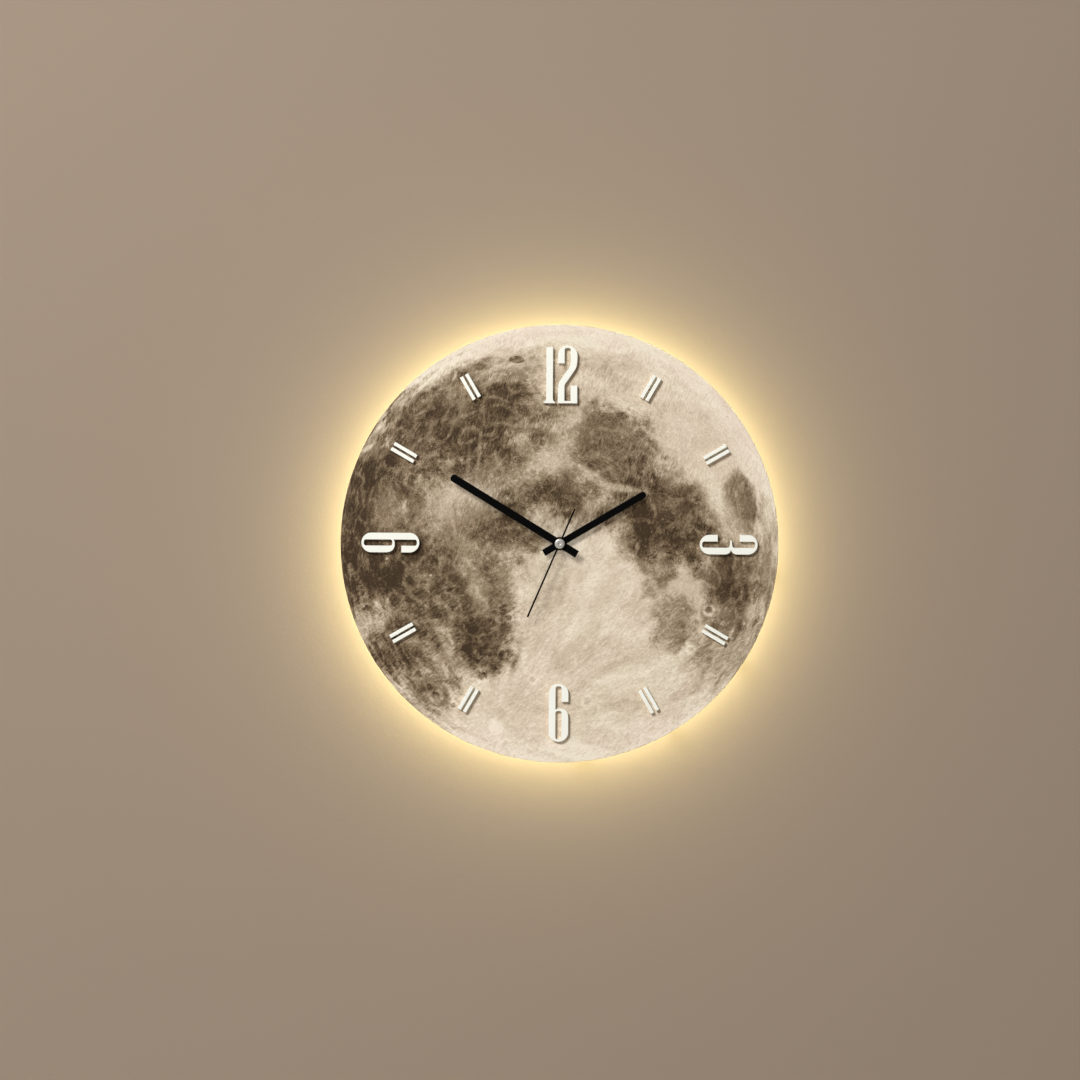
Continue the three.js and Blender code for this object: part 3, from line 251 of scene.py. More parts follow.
class Nodes:
    """A node tree that is filled from Python."""

    def __init__(self, tree):
        self.tree = tree

    def feed(self, socket, value):
        """Links a socket to a Value, or sets it."""
        if isinstance(value, Value):
            self.tree.links.new(value.socket, socket)
        elif socket.type == "RGBA":
            socket.default_value = (*value[:3], 1)
        else:
            socket.default_value = value

    def node(self, kind, made=None, inputs=None, output=0):
        """Adds a node, makes its settings, feeds its sockets and gives one output."""
        node = self.tree.nodes.new(kind)
        for key, value in (made or {}).items():
            if key == "stops":
                self.stops(node.color_ramp, value)
            else:
                setattr(node, key, value)
        for key, value in (inputs or {}).items():
            self.feed(node.inputs[key], value)
        return Value(self, node.outputs[output])

    def stops(self, ramp, stops):
        """Sets a ramp's stops from (place, colour) pairs."""
        while len(ramp.elements) < len(stops):
            ramp.elements.new(1)
        for element, (place, tone) in zip(ramp.elements, stops):
            element.position = place
            element.color = (*tone[:3], 1)

    def math(self, operation, *terms):
        """A Math node on numbers and Values."""
        return self.node("ShaderNodeMath", {"operation": operation}, dict(enumerate(terms)))

    def vector(self, operation, first, second, output="Vector"):
        """A Vector Math node."""
        return self.node("ShaderNodeVectorMath", {"operation": operation}, {0: first, 1: second}, output)

    def mix(self, share, first, second):
        """A blend of two colours."""
        return self.node("ShaderNodeMix", {"data_type": "RGBA"}, {0: share, 6: first, 7: second}, 2)

    def rise(self, value, start, end, low=0.0, high=1.0):
        """A smooth step of value from start to end."""
        made = {"interpolation_type": "SMOOTHSTEP", "clamp": False}
        inputs = {"Value": value, "From Min": start, "From Max": end, "To Min": low, "To Max": high}
        return self.node("ShaderNodeMapRange", made, inputs)

    def place(self):
        """Where a point lies in the frame, in millimetres."""
        metres = self.node("ShaderNodeTexCoord", output="Object")
        return self.vector("MULTIPLY", metres, (1 / MM,) * 3)

    def parts(self, vector):
        """The x, y and z of a vector."""
        split = self.tree.nodes.new("ShaderNodeSeparateXYZ")
        self.feed(split.inputs[0], vector)
        return [Value(self, out) for out in split.outputs]

    def noise(self, place, grain, detail=2.0, rough=0.5, curl=0.0):
        """Noise whose lumps measure about grain, in the units of place."""
        inputs = {
            "Vector": place,
            "Scale": 1 / grain,
            "Detail": detail,
            "Roughness": rough,
            "Distortion": curl,
        }
        return self.node("ShaderNodeTexNoise", inputs=inputs)

    def swing(self, noise, reach):
        """Noise about its mean, times a reach."""
        return (noise - NOISE_MEAN) * reach

    def ridges(self, place, grain):
        """Thin winding crests, from 0 between them to 1 on them."""
        made = {"noise_type": "RIDGED_MULTIFRACTAL"}
        inputs = {
            "Vector": place,
            "Scale": 1 / grain,
            "Detail": 6.0,
            "Roughness": 0.6,
            "Offset": 1.0,
            "Gain": 1.0,
        }
        return self.rise(self.node("ShaderNodeTexNoise", made, inputs), 0.9, 1.6)

    def stretched(self, place, turn, sizes):
        """Place turned about the third axis and measured in sizes."""
        inputs = {"Vector": place, "Rotation": (0, 0, turn), "Scale": sizes}
        return self.node("ShaderNodeMapping", {"vector_type": "TEXTURE"}, inputs)


class Finish(Nodes):
    """A material and the nodes that make it."""

    def __init__(self, name, **shader):
        self.material = bpy.data.materials.new(name)
        self.material.use_nodes = True
        super().__init__(self.material.node_tree)
        self.shader = self.tree.nodes["Principled BSDF"]
        self.output = self.tree.nodes["Material Output"]
        self.set(**shader)

    def set(self, **shader):
        """Feeds the shader's sockets, named with underscores for spaces."""
        for key, value in shader.items():
            self.feed(self.shader.inputs[key.replace("_", " ")], value)

    def mottle(self, share, tone, low, high):
        """A colour that lies between two shades of a tone."""
        return self.mix(share, tinted(tone, low), tinted(tone, high))

    def relief(self, height, depth):
        """A relief of a depth in millimetres, lit as if the surface rose with height."""
        inputs = {"Height": height, "Distance": depth * MM}
        self.set(Normal=self.node("ShaderNodeBump", inputs=inputs))


def tinted(tone, factor):
    """A colour made lighter or darker."""
    return tuple(min(1.0, level * factor) for level in tone)


# Lunar print

Patch = namedtuple("Patch", "x z width height tilt soft depth")

# Places and half-widths on a disc of radius 1, seen from the front, and tilt in degrees.
# Soft is the blur of the shore, as a share of the half-widths. Depth is 1 for the fullest tone.
SEAS = (
    # northern basin
    Patch(-0.22, 0.61, 0.19, 0.12, 0, 0.35, 0.42),
    Patch(-0.42, 0.60, 0.24, 0.19, 20, 0.40, 0.56),
    Patch(-0.64, 0.52, 0.18, 0.14, 40, 0.50, 0.56),
    Patch(-0.50, 0.43, 0.28, 0.16, 15, 0.40, 0.36),
    Patch(-0.20, 0.43, 0.09, 0.06, 0, 0.50, 0.34),
    Patch(-0.01, 0.62, 0.09, 0.07, 0, 0.60, 0.42),
    Patch(-0.76, 0.62, 0.10, 0.09, 40, 0.70, 0.36),
    Patch(-0.32, 0.38, 0.14, 0.10, 0, 0.60, 0.46),
    # serene basin
    Patch(0.235, 0.44, 0.20, 0.165, -45, 0.22, 0.56),
    Patch(0.36, 0.33, 0.09, 0.10, 0, 0.40, 0.40),
    Patch(0.11, 0.37, 0.05, 0.05, 0, 0.60, 0.60),
    # tranquil basin
    Patch(0.50, 0.13, 0.21, 0.18, -25, 0.35, 0.78),
    Patch(0.39, 0.04, 0.12, 0.11, 10, 0.45, 0.62),
    Patch(0.44, -0.09, 0.09, 0.08, 0, 0.50, 0.50),
    Patch(0.62, 0.02, 0.12, 0.10, 0, 0.50, 0.56),
    Patch(0.41, 0.26, 0.09, 0.06, 0, 0.60, 0.36),
    Patch(0.67, 0.17, 0.06, 0.08, 25, 0.60, 0.26),
    Patch(0.79, -0.04, 0.09, 0.07, 0, 0.60, 0.54),
    # eastern oval
    Patch(0.82, 0.19, 0.078, 0.135, 14, 0.22, 0.56),
    # fertile basin
    Patch(0.77, -0.16, 0.12, 0.13, 0, 0.40, 0.62),
    Patch(0.79, -0.29, 0.10, 0.13, 0, 0.50, 0.58),
    Patch(0.95, -0.14, 0.07, 0.24, 0, 0.70, 0.46),
    # nectar basin
    Patch(0.51, -0.37, 0.09, 0.12, -10, 0.50, 0.40),
    Patch(0.43, -0.20, 0.05, 0.05, 0, 0.60, 0.26),
    # central bays
    Patch(0.02, 0.23, 0.11, 0.08, 0, 0.50, 0.70),
    Patch(0.18, 0.26, 0.06, 0.04, -20, 0.60, 0.40),
    Patch(-0.07, 0.47, 0.07, 0.04, -20, 0.60, 0.40),
    Patch(-0.18, 0.20, 0.11, 0.07, 20, 0.60, 0.72),
    Patch(-0.25, 0.07, 0.16, 0.10, -15, 0.60, 0.46),
    Patch(0.29, 0.16, 0.11, 0.08, 30, 0.60, 0.72),
    Patch(0.11, 0.16, 0.08, 0.08, 0, 0.70, 0.46),
    # western ocean
    Patch(-0.92, 0.18, 0.17, 0.38, 0, 0.50, 0.86),
    Patch(-0.74, 0.33, 0.18, 0.15, -20, 0.60, 0.54),
    Patch(-0.79, 0.00, 0.20, 0.16, 0, 0.50, 0.58),
    Patch(-0.84, -0.13, 0.22, 0.14, 0, 0.50, 0.88),
    Patch(-0.64, -0.18, 0.19, 0.15, 0, 0.60, 0.68),
    Patch(-0.97, -0.22, 0.08, 0.13, 0, 0.50, 0.80),
    Patch(-0.38, 0.00, 0.20, 0.14, 0, 0.70, 0.26),
    Patch(-0.67, 0.17, 0.05, 0.08, 0, 0.60, 0.36),
    # cloudy basin
    Patch(-0.48, -0.31, 0.20, 0.16, 0, 0.50, 0.58),
    Patch(-0.31, -0.22, 0.11, 0.14, 10, 0.60, 0.50),
    Patch(-0.66, -0.36, 0.15, 0.08, -15, 0.60, 0.50),
    Patch(-0.33, -0.42, 0.13, 0.15, 10, 0.40, 0.76),
    Patch(-0.35, -0.54, 0.12, 0.07, 0, 0.60, 0.60),
    # damp basin
    Patch(-0.76, -0.48, 0.14, 0.12, 0, 0.50, 0.78),
    Patch(-0.60, -0.65, 0.12, 0.09, -25, 0.70, 0.50),
    # northern cold sea and a dark crater floor
    Patch(0.10, 0.83, 0.28, 0.05, -8, 0.80, 0.10),
    Patch(-0.20, 0.838, 0.034, 0.016, 0, 0.20, 0.62),
    # half-tones of the middle, the west and the eastern limb
    Patch(-0.05, 0.42, 0.34, 0.26, 0, 0.90, 0.28),
    Patch(-0.50, 0.10, 0.40, 0.30, 0, 0.90, 0.30),
    Patch(-0.58, -0.47, 0.20, 0.17, 0, 0.90, 0.42),
    Patch(0.81, -0.47, 0.19, 0.18, 45, 0.90, 0.40),
    Patch(0.62, -0.20, 0.14, 0.18, 0, 0.90, 0.12),
    Patch(-0.20, 0.77, 0.21, 0.08, 0, 0.80, 0.30),
    Patch(-0.92, -0.36, 0.07, 0.10, 15, 0.80, 0.36),
    Patch(-0.57, -0.74, 0.12, 0.08, -35, 0.90, 0.24),
)
UPLIFTS = (
    # western ray craters
    Patch(-0.47, 0.18, 0.14, 0.085, 10, 0.60, 0.68),
    Patch(-0.79, 0.14, 0.06, 0.09, 0, 0.90, 0.64),
    Patch(-0.84, -0.36, 0.06, 0.05, 0, 0.80, 0.40),
    Patch(-0.67, -0.45, 0.06, 0.03, -20, 0.80, 0.50),
    Patch(-0.87, 0.44, 0.06, 0.05, 35, 0.80, 0.40),
    Patch(-0.69, 0.41, 0.05, 0.05, 0, 0.80, 0.40),
    Patch(-0.38, -0.20, 0.04, 0.10, 10, 0.90, 0.40),
    Patch(-0.50, -0.50, 0.012, 0.16, 30, 0.90, 0.35),
    # mountain chains
    Patch(0.15, 0.31, 0.10, 0.022, -35, 0.60, 0.75),
    Patch(0.29, 0.255, 0.09, 0.016, -9, 0.60, 0.70),
    Patch(0.03, 0.50, 0.06, 0.14, 0, 0.80, 0.40),
    Patch(-0.08, 0.37, 0.10, 0.05, 30, 0.80, 0.40),
    Patch(0.09, 0.26, 0.04, 0.03, 0, 0.90, 0.40),
    Patch(0.52, 0.30, 0.05, 0.05, 0, 0.80, 0.55),
    # bright filaments
    Patch(-0.37, 0.41, 0.008, 0.13, -5, 0.60, 0.40),
    Patch(-0.42, 0.36, 0.008, 0.08, -3, 0.60, 0.35),
    Patch(-0.30, 0.33, 0.008, 0.09, -38, 0.60, 0.35),
    Patch(-0.88, 0.43, 0.032, 0.010, 35, 0.40, 0.90),
    Patch(-0.65, 0.29, 0.028, 0.007, 55, 0.60, 0.50),
    Patch(0.865, -0.31, 0.022, 0.045, -10, 0.60, 0.60),
    # pale marsh by the eastern oval
    Patch(0.72, 0.20, 0.045, 0.21, 30, 0.80, 0.90),
)
RAY_CRATER = (-0.285, -0.84)

# Tones run from 0, the darkest, to 1. Rim and floor are added to the ground's tone.
Crater = namedtuple("Crater", "x z radius rim floor")
CRATERS = (
    Crater(0.686, -0.30, 0.020, 0.22, -0.06),
    Crater(-0.35, -0.605, 0.028, 0.10, -0.10),
    Crater(-0.23, -0.34, 0.016, 0.14, -0.04),
    Crater(-0.26, -0.50, 0.018, 0.10, -0.04),
    Crater(-0.45, 0.38, 0.012, 0.05, 0.25),
    Crater(0.088, 0.357, 0.010, 0.05, 0.20),
    Crater(-0.56, -0.70, 0.022, 0.14, -0.05),
    Crater(-0.48, -0.74, 0.016, 0.12, -0.05),
    Crater(-0.64, -0.60, 0.020, 0.12, -0.05),
    Crater(0.60, -0.48, 0.018, 0.08, -0.04),
    Crater(0.05, 0.10, 0.014, 0.05, -0.12),
    Crater(0.34, 0.03, 0.010, 0.10, -0.04),
    Crater(-0.08, 0.46, 0.018, 0.08, -0.08),
    Crater(0.13, -0.72, 0.022, 0.05, -0.03),
    Crater(-0.12, -0.62, 0.018, 0.05, -0.03),
)

# Raggedness of the shores, in half-widths
SHORE_LUMPS = 3.4
SHORE_STROKES = 0.6
SHORE_LEAST = 0.16
SHORE_SOFT = 0.7
CRATER_SHORE = 0.4

# Tone of the ground, and what each layer adds to it
SEA_TONE = 0.21
LAND_TONE = 0.59
UPLIFT_SHARE = 0.8
LIMB_START = 0.70
LIMB_TONE = 0.08
LAND_CALM = 0.5
CLOUD_SWING = 0.24
LUMP_SWING = 0.40
STROKE_SWING = 1.0
GRAIN_SWING = 0.26
RIDGE_MEAN = 0.3
RIDGE_TONE = 0.17
RAY_TONE = 0.45
RAY_HEART = 0.2
RAYS_ROUND = 6
RAYS_ALONG = 2.5
SPECK_TONE = 0.3
SPECKS_ACROSS = 14.0
ROSY = (1.02, 0.995, 1.0)
STRAW = (0.99, 1.0, 0.975)


def patches(nodes, place, shore, listed):
    """How far a point lies outside all of the listed patches: 1 outside, less inside."""
    outside = 1.0
    for patch in listed:
        turn = math.radians(patch.tilt)
        away = nodes.vector("SUBTRACT", place, (patch.x, patch.z, 0))
        long_axis = (math.cos(turn) / patch.width, math.sin(turn) / patch.width, 0)
        short_axis = (-math.sin(turn) / patch.height, math.cos(turn) / patch.height, 0)
        along = nodes.vector("DOT_PRODUCT", away, long_axis, "Value")
        aside = nodes.vector("DOT_PRODUCT", away, short_axis, "Value")
        reach = nodes.math("SQRT", along * along + aside * aside)
        ragged = reach + shore * (SHORE_LEAST + SHORE_SOFT * patch.soft)
        inside = nodes.rise(ragged, 1 + patch.soft, 1 - patch.soft, 0.0, patch.depth)
        outside = (1 - inside) * outside
    return outside


def moon_strokes(nodes, disc):
    """Fine strokes of the print: rising to the right in the south, curled in the north."""
    low_slope = nodes.stretched(disc, math.radians(33), (0.024, 0.011, 1))
    high_slope = nodes.stretched(disc, math.radians(72), (0.026, 0.009, 1))
    rising = nodes.noise(low_slope, 1.0, detail=5.0, rough=0.7, curl=1.0)
    steep = nodes.noise(high_slope, 1.0, detail=4.0, rough=0.7, curl=0.8)
    curled = nodes.noise(disc, 0.014, detail=4.0, rough=0.7, curl=1.2)
    patchy = nodes.noise(disc, 0.22)
    _, up, _ = nodes.parts(disc)
    south = nodes.rise(up + (patchy - NOISE_MEAN), 0.05, -0.35)
    mixed = nodes.rise(patchy, 0.44, 0.56)
    north = curled * mixed + steep * (1 - mixed)
    return rising * south + north * (1 - south)


def moon_rays(nodes, disc):
    """Streaks that spread from the southern ray crater."""
    across, up, _ = nodes.parts(nodes.vector("SUBTRACT", disc, (*RAY_CRATER, 0)))
    turn = nodes.math("ARCTAN2", up, across)
    reach = nodes.math("SQRT", across * across + up * up)
    spread = nodes.node("ShaderNodeCombineXYZ", inputs={"X": turn * RAYS_ROUND, "Y": reach * RAYS_ALONG})
    streak = nodes.noise(spread, 1.0, detail=5.0, rough=0.6, curl=0.4) - NOISE_MEAN
    streak = streak * nodes.rise(reach, 1.5, 0.5) * nodes.rise(reach, 0.06, 0.30)
    return streak + nodes.rise(reach, 0.05, 0.02) * RAY_HEART


def moon_craters(nodes, disc, shore):
    """Larger craters, each with a pale rim round its floor."""
    tone = 0.0
    for crater in CRATERS:
        away = nodes.vector("DISTANCE", disc, (crater.x, crater.z, 0), "Value")
        reach = away / crater.radius + shore * CRATER_SHORE
        rim = nodes.rise(reach, 0.5, 1.0) * nodes.rise(reach, 1.8, 1.1)
        tone = tone + rim * crater.rim + nodes.rise(reach, 1.0, 0.4) * crater.floor
    return tone


def moon_specks(nodes, disc):
    """Small young craters, paler than the ground round them."""
    made = {"voronoi_dimensions": "2D"}
    inputs = {"Vector": disc, "Scale": SPECKS_ACROSS}
    distance = nodes.node("ShaderNodeTexVoronoi", made, inputs)
    pick = nodes.node("ShaderNodeTexVoronoi", made, inputs, "Color")
    size, chosen, _ = nodes.parts(pick)
    least, spread = 0.02, 0.12
    near = distance / (least + size * size * spread)
    return nodes.rise(near, 1.2, 0.4) * nodes.rise(chosen, 0.6, 0.9)


def moon_print():
    """A matt print of the near side of the Moon, in sepia."""
    tones = settings().dial
    paint = Finish("moon_print", Roughness=0.65, Specular_IOR_Level=0.15)
    across, _, up = paint.parts(paint.place())
    radius = DIAL_RADIUS / MM
    across, up = across / radius, up / radius
    disc = paint.node("ShaderNodeCombineXYZ", inputs={"X": across, "Y": up})
    out = across * across + up * up
    towards = paint.math("SQRT", paint.math("MAXIMUM", 1 - out, 0.0))
    ball = paint.node("ShaderNodeCombineXYZ", inputs={"X": across, "Y": up, "Z": towards})
    strokes = moon_strokes(paint, ball)
    lumps = paint.noise(ball, 0.12, detail=10.0, rough=0.66, curl=0.3)
    clouds = paint.noise(ball, 0.3, detail=5.0, rough=0.6, curl=0.6)
    ridges = paint.ridges(ball, 0.10)
    grain = paint.noise(disc, 0.006, rough=0.6)
    shore = paint.swing(lumps, SHORE_LUMPS) + paint.swing(strokes, SHORE_STROKES)
    land = patches(paint, disc, shore, SEAS)
    lift = 1 - patches(paint, disc, shore, UPLIFTS)
    land = land + lift * (1 - land) * UPLIFT_SHARE
    depth = 1.0 - land * LAND_CALM

    tone = SEA_TONE + LAND_TONE * land
    tone = tone + paint.rise(out, LIMB_START, 1.0) * LIMB_TONE * land
    tone = tone + paint.swing(clouds, CLOUD_SWING) * land
    tone = tone + paint.swing(lumps, LUMP_SWING) * depth
    tone = tone + paint.swing(strokes, STROKE_SWING) * depth
    tone = tone + paint.swing(grain, GRAIN_SWING) * depth
    tone = tone + (ridges - RIDGE_MEAN) * (1 - land) * RIDGE_TONE
    tone = tone + moon_rays(paint, disc) * RAY_TONE
    tone = tone + moon_specks(paint, disc) * (1 - land) * SPECK_TONE
    tone = tone + moon_craters(paint, disc, shore)
    stops = (
        (0.20, tones.deep),
        (0.35, tones.sea),
        (0.55, tones.shore),
        (0.78, tones.upland),
        (0.92, tones.bright),
    )
    shade = paint.node("ShaderNodeValToRGB", {"stops": stops}, {"Fac": tone})
    tint = paint.mix(paint.rise(clouds, 0.35, 0.65), ROSY, STRAW)
    paint.set(Base_Color=paint.vector("MULTIPLY", shade, tint))
    return paint.material


# Plain finishes

def moulded(name, tone, roughness=0.5, grain=0.35, depth=0.02):
    """Moulded plastic with a fine spark-eroded grain and faint flow clouds."""
    paint = Finish(name)
    place = paint.place()
    clouds = paint.noise(place, 18.0, 3.0)
    pits = paint.noise(place, grain, 2.0)
    paint.set(Base_Color=paint.mottle(clouds, tone, 0.93, 1.05))
    paint.set(Roughness=roughness + paint.swing(clouds, 0.16))
    paint.relief(pits, depth)
    return paint.material


def metal(name, tone, roughness):
    """Bright metal with fine drawn lines."""
    paint = Finish(name, Metallic=1.0)
    place = paint.place()
    line_sizes = (0.3, 6.0, 6.0)
    lines = paint.noise(paint.stretched(place, 0.0, line_sizes), 1.0, 3.0)
    dull = paint.noise(place, 5.0, 3.0)
    paint.set(Base_Color=paint.mottle(dull, tone, 0.84, 1.06))
    paint.set(Roughness=roughness + paint.swing(lines, 0.22))
    paint.relief(lines, 0.006)
    return paint.material


def board_edge():
    """The panel's white core, with a faint fibre."""
    return moulded("panel_board", settings().dial.board, 0.65, 0.6, 0.03)


def board_back():
    """The panel's back, painted dark."""
    return moulded("panel_back", settings().dial.back, 0.7, 0.8, 0.04)


def ivory_acrylic():
    """Cut acrylic with a satin face."""
    paint = Finish("ivory_acrylic", Coat_Roughness=0.2, Specular_IOR_Level=0.4)
    place = paint.place()
    tone = settings().figures.ivory
    clouds = paint.noise(place, 9.0, 3.0)
    marks = paint.noise(place, 0.5, 2.0)
    paint.set(Base_Color=paint.mottle(clouds, tone, 0.96, 1.02))
    paint.set(Roughness=0.34 + paint.swing(clouds, 0.12))
    paint.relief(marks, 0.006)
    return paint.material


def black_paint():
    """Black paint with a faint orange peel."""
    paint = Finish("black_paint", Specular_IOR_Level=0.04)
    place = paint.place()
    tone = settings().hands.black
    peel = paint.noise(place, 0.6, 2.0)
    clouds = paint.noise(place, 12.0, 3.0)
    paint.set(Base_Color=paint.mottle(clouds, tone, 0.8, 1.3))
    paint.set(Roughness=0.5 + paint.swing(clouds, 0.14))
    paint.relief(peel, 0.01)
    return paint.material


def turned_silver():
    """Silver with the rings that a lathe leaves."""
    paint = Finish("turned_silver", Metallic=0.6)
    across, _, up = paint.parts(paint.place())
    reach = paint.math("SQRT", across * across + up * up)
    rings = paint.noise(paint.node("ShaderNodeCombineXYZ", inputs={"X": reach}), 0.12, 3.0)
    tone = settings().hands.silver
    paint.set(Base_Color=paint.mottle(rings, tone, 0.82, 1.06))
    paint.set(Roughness=0.38 + paint.swing(rings, 0.2))
    paint.relief(rings, 0.01)
    return paint.material


def foam(name, tone):
    """Closed-cell foam: small cells and a dull skin."""
    paint = Finish(name, Roughness=0.95)
    place = paint.place()
    cells = paint.node("ShaderNodeTexVoronoi", inputs={"Vector": place, "Scale": 2.2})
    paint.set(Base_Color=paint.mottle(cells, tone, 0.7, 1.25))
    paint.relief(cells, 0.15)
    return paint.material


def battery_sleeve():
    """A printed sleeve with a band at the positive end."""
    tones = settings().case
    low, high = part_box("aa_battery")
    paint = Finish("battery_sleeve", Specular_IOR_Level=0.5, Coat_Weight=0.4, Coat_Roughness=0.12)
    place = paint.place()
    along, _, _ = paint.parts(place)
    band_share = 0.3
    band_end = (low.x + band_share * (high.x - low.x)) / MM
    blur = 0.15
    band = paint.rise(along, band_end + blur, band_end - blur)
    flake = paint.noise(place, 0.4, 2.0)
    blue = paint.mottle(flake, tones.sleeve, 0.85, 1.15)
    gold = paint.mottle(flake, tones.band, 0.85, 1.1)
    paint.set(Base_Color=paint.mix(band, blue, gold))
    paint.set(Metallic=0.35 + band * 0.45)
    paint.set(Roughness=0.34 + paint.swing(flake, 0.1))
    return paint.material


def strip_film():
    """White flexible circuit with copper pads between the chips."""
    glow = settings().glow
    paint = Finish("strip_film")
    across, depth, up = paint.parts(paint.place())
    turn = paint.math("ARCTAN2", across, up)
    pitch = turn * (glow.chips / math.tau)
    beat = paint.math("FRACT", pitch)
    middle = paint.math("ABSOLUTE", beat - 0.5)
    low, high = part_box("led_strip")
    centre = (low.y + high.y) / 2 / MM
    pad_place = 2.4
    side = paint.math("ABSOLUTE", paint.math("ABSOLUTE", depth - centre) - pad_place)
    pads = paint.rise(middle, 0.43, 0.46) * paint.rise(side, 0.95, 0.75)
    grain = paint.noise(paint.place(), 1.2, 3.0)
    white = paint.mix(grain, srgb(228, 224, 214), srgb(246, 243, 235))
    paint.set(Base_Color=paint.mix(pads, white, srgb(190, 120, 70)))
    paint.set(Metallic=pads * 0.9)
    paint.set(Roughness=0.5 - pads * 0.2)
    return paint.material


def lit_phosphor():
    """The yellow window of a chip, lit."""
    glow = settings().glow
    paint = Finish("lit_phosphor", Base_Color=srgb(250, 214, 110), Roughness=0.6)
    paint.set(Emission_Strength=glow.strength)
    grain = paint.noise(paint.place(), 0.3, 2.0)
    paint.set(Emission_Color=paint.mottle(grain, glow.warm, 0.95, 1.0))
    return paint.material


def circuit():
    """Green solder mask with its copper traces showing through."""
    paint = Finish("solder_mask", Coat_Weight=0.3, Coat_Roughness=0.2)
    across, _, up = paint.parts(paint.place())
    wave = paint.math("SINE", (across + up) * 2.4) * paint.math("SINE", (across - up) * 1.7)
    trace = paint.rise(wave, 0.25, 0.35)
    paint.set(Base_Color=paint.mix(trace, srgb(22, 66, 40), srgb(52, 112, 66)))
    paint.set(Roughness=0.45 - trace * 0.1)
    return paint.material


def copper_winding():
    """Lacquered copper wire, wound close along X."""
    wire = 0.16
    paint = Finish("copper_winding", Metallic=0.9)
    place = paint.place()
    along, _, _ = paint.parts(place)
    turns = paint.math("SINE", along * (math.tau / wire))
    tarnish = paint.noise(place, 1.5, 3.0)
    paint.set(Base_Color=paint.mix(tarnish, srgb(140, 70, 38), srgb(196, 112, 66)))
    paint.set(Roughness=0.34 + paint.swing(tarnish, 0.15))
    paint.relief(turns, 0.04)
    return paint.material


# Meshes

def solid_of(node):
    """A copy of a node's solid, with its corners welded and its flat faces joined."""
    form = bmesh.new()
    form.from_mesh(NODES[node].data)
    bmesh.ops.remove_doubles(form, verts=form.verts, dist=WELD)
    bmesh.ops.dissolve_limit(form, angle_limit=FLAT_ANGLE, verts=form.verts, edges=form.edges)
    return form


def turned(profile, sides, centre=(0, 0), along="Y"):
    """A form turned about an axis from a closed profile of (radius, depth) points."""
    form = bmesh.new()
    rows = []
    for step in range(sides):
        turn = math.tau * step / sides
        row = []
        for radius, depth in profile:
            first = centre[0] + radius * math.sin(turn)
            second = centre[1] + radius * math.cos(turn)
            spot = (first, depth, second) if along == "Y" else (depth, first, second)
            row.append(form.verts.new(spot))
        rows.append(row)
    count = len(profile)
    for step in range(sides):
        here, there = rows[step], rows[(step + 1) % sides]
        for i in range(count):
            j = (i + 1) % count
            if profile[i][0] == 0 and profile[j][0] == 0:
                continue
            form.faces.new((here[i], here[j], there[j], there[i]))
    bmesh.ops.remove_doubles(form, verts=form.verts, dist=WELD)
    bmesh.ops.recalc_face_normals(form, faces=form.faces)
    return form


def is_sharp(edge):
    """Whether two faces meet in a sharp edge."""
    return len(edge.link_faces) == 2 and edge.calc_face_angle() > EDGE_ANGLE


def round_edges(form, reach, steps=2):
    """Rounds the sharp edges of a form."""
    edges = [edge for edge in form.edges if is_sharp(edge)]
    bmesh.ops.bevel(
        form, geom=edges, offset=reach, segments=steps, profile=0.5, affect="EDGES", clamp_overlap=True
    )
    return form


def piece(name, form, materials, *nodes):
    """A finished piece that stands for CAD nodes and rides with the first of them."""
    mesh = bpy.data.meshes.new(name)
    form.to_mesh(mesh)
    form.free()
    for material in materials:
        mesh.materials.append(material)
    mesh.shade_smooth()
    mesh.set_sharp_from_angle(angle=EDGE_ANGLE)
    made = bpy.data.objects.new(name, mesh)
    bpy.context.scene.collection.objects.link(made)
    weighted = made.modifiers.new("Even shading", "WEIGHTED_NORMAL")
    weighted.keep_sharp = True
    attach(made, NODES[nodes[0]]["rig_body"])
    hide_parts(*nodes)
    return made


def rounded_piece(node, material, reach, steps=2):
    """A node's solid with rounded edges, as a piece of one material."""
    return piece(f"finished_{node}", round_edges(solid_of(node), reach, steps), [material], node)


def paint_nodes(material, *names):
    """Gives CAD nodes that stay as they are a finish."""
    for name in names:
        mesh = NODES[name].data
        mesh.materials.clear()
        mesh.materials.append(material)


def ring_radii(node):
    """The least and greatest distance of a node's corners from the axis of the hands."""
    reach = [math.hypot(vertex.co.x, vertex.co.z) for vertex in NODES[node].data.vertices]
    return min(reach), max(reach)


# Operators

class MOONCLOCK_OT_dial(bpy.types.Operator):
    """Turn the dial panel and print the Moon on its face"""

    bl_idname = "moon_clock.dial"
    bl_label = "Dial"

    def execute(self, context):
        bore, rim = ring_radii("dial_panel")
        back = HIGH_DIAL.y
        profile = ((bore, DIAL_FRONT), (rim, DIAL_FRONT), (rim, back), (bore, back))
        form = round_edges(turned(profile, DIAL_SIDES), settings().dial.edge)
        for face in form.faces:
            face.material_index = self.side(face)
        piece("finished_dial_panel", form, [moon_print(), board_edge(), board_back()], "dial_panel")
        return {"FINISHED"}

    def side(self, face):
        """Which material a face takes: 0 in front and on the front edge, 1 on the rim and 2 behind."""
        front, back = -0.3, 0.9
        if face.normal.y < front:
            return 0
        return 2 if face.normal.y > back else 1


class MOONCLOCK_OT_figures(bpy.types.Operator):
    """Round and finish the raised figures and the hour bars"""

    bl_idname = "moon_clock.figures"
    bl_label = "Figures"

    def execute(self, context):
        ivory = ivory_acrylic()
        for node in sorted(NODES):
            if node.startswith(("numeral_", "hour_bar_")):
                rounded_piece(node, ivory, settings().figures.edge)
        return {"FINISHED"}


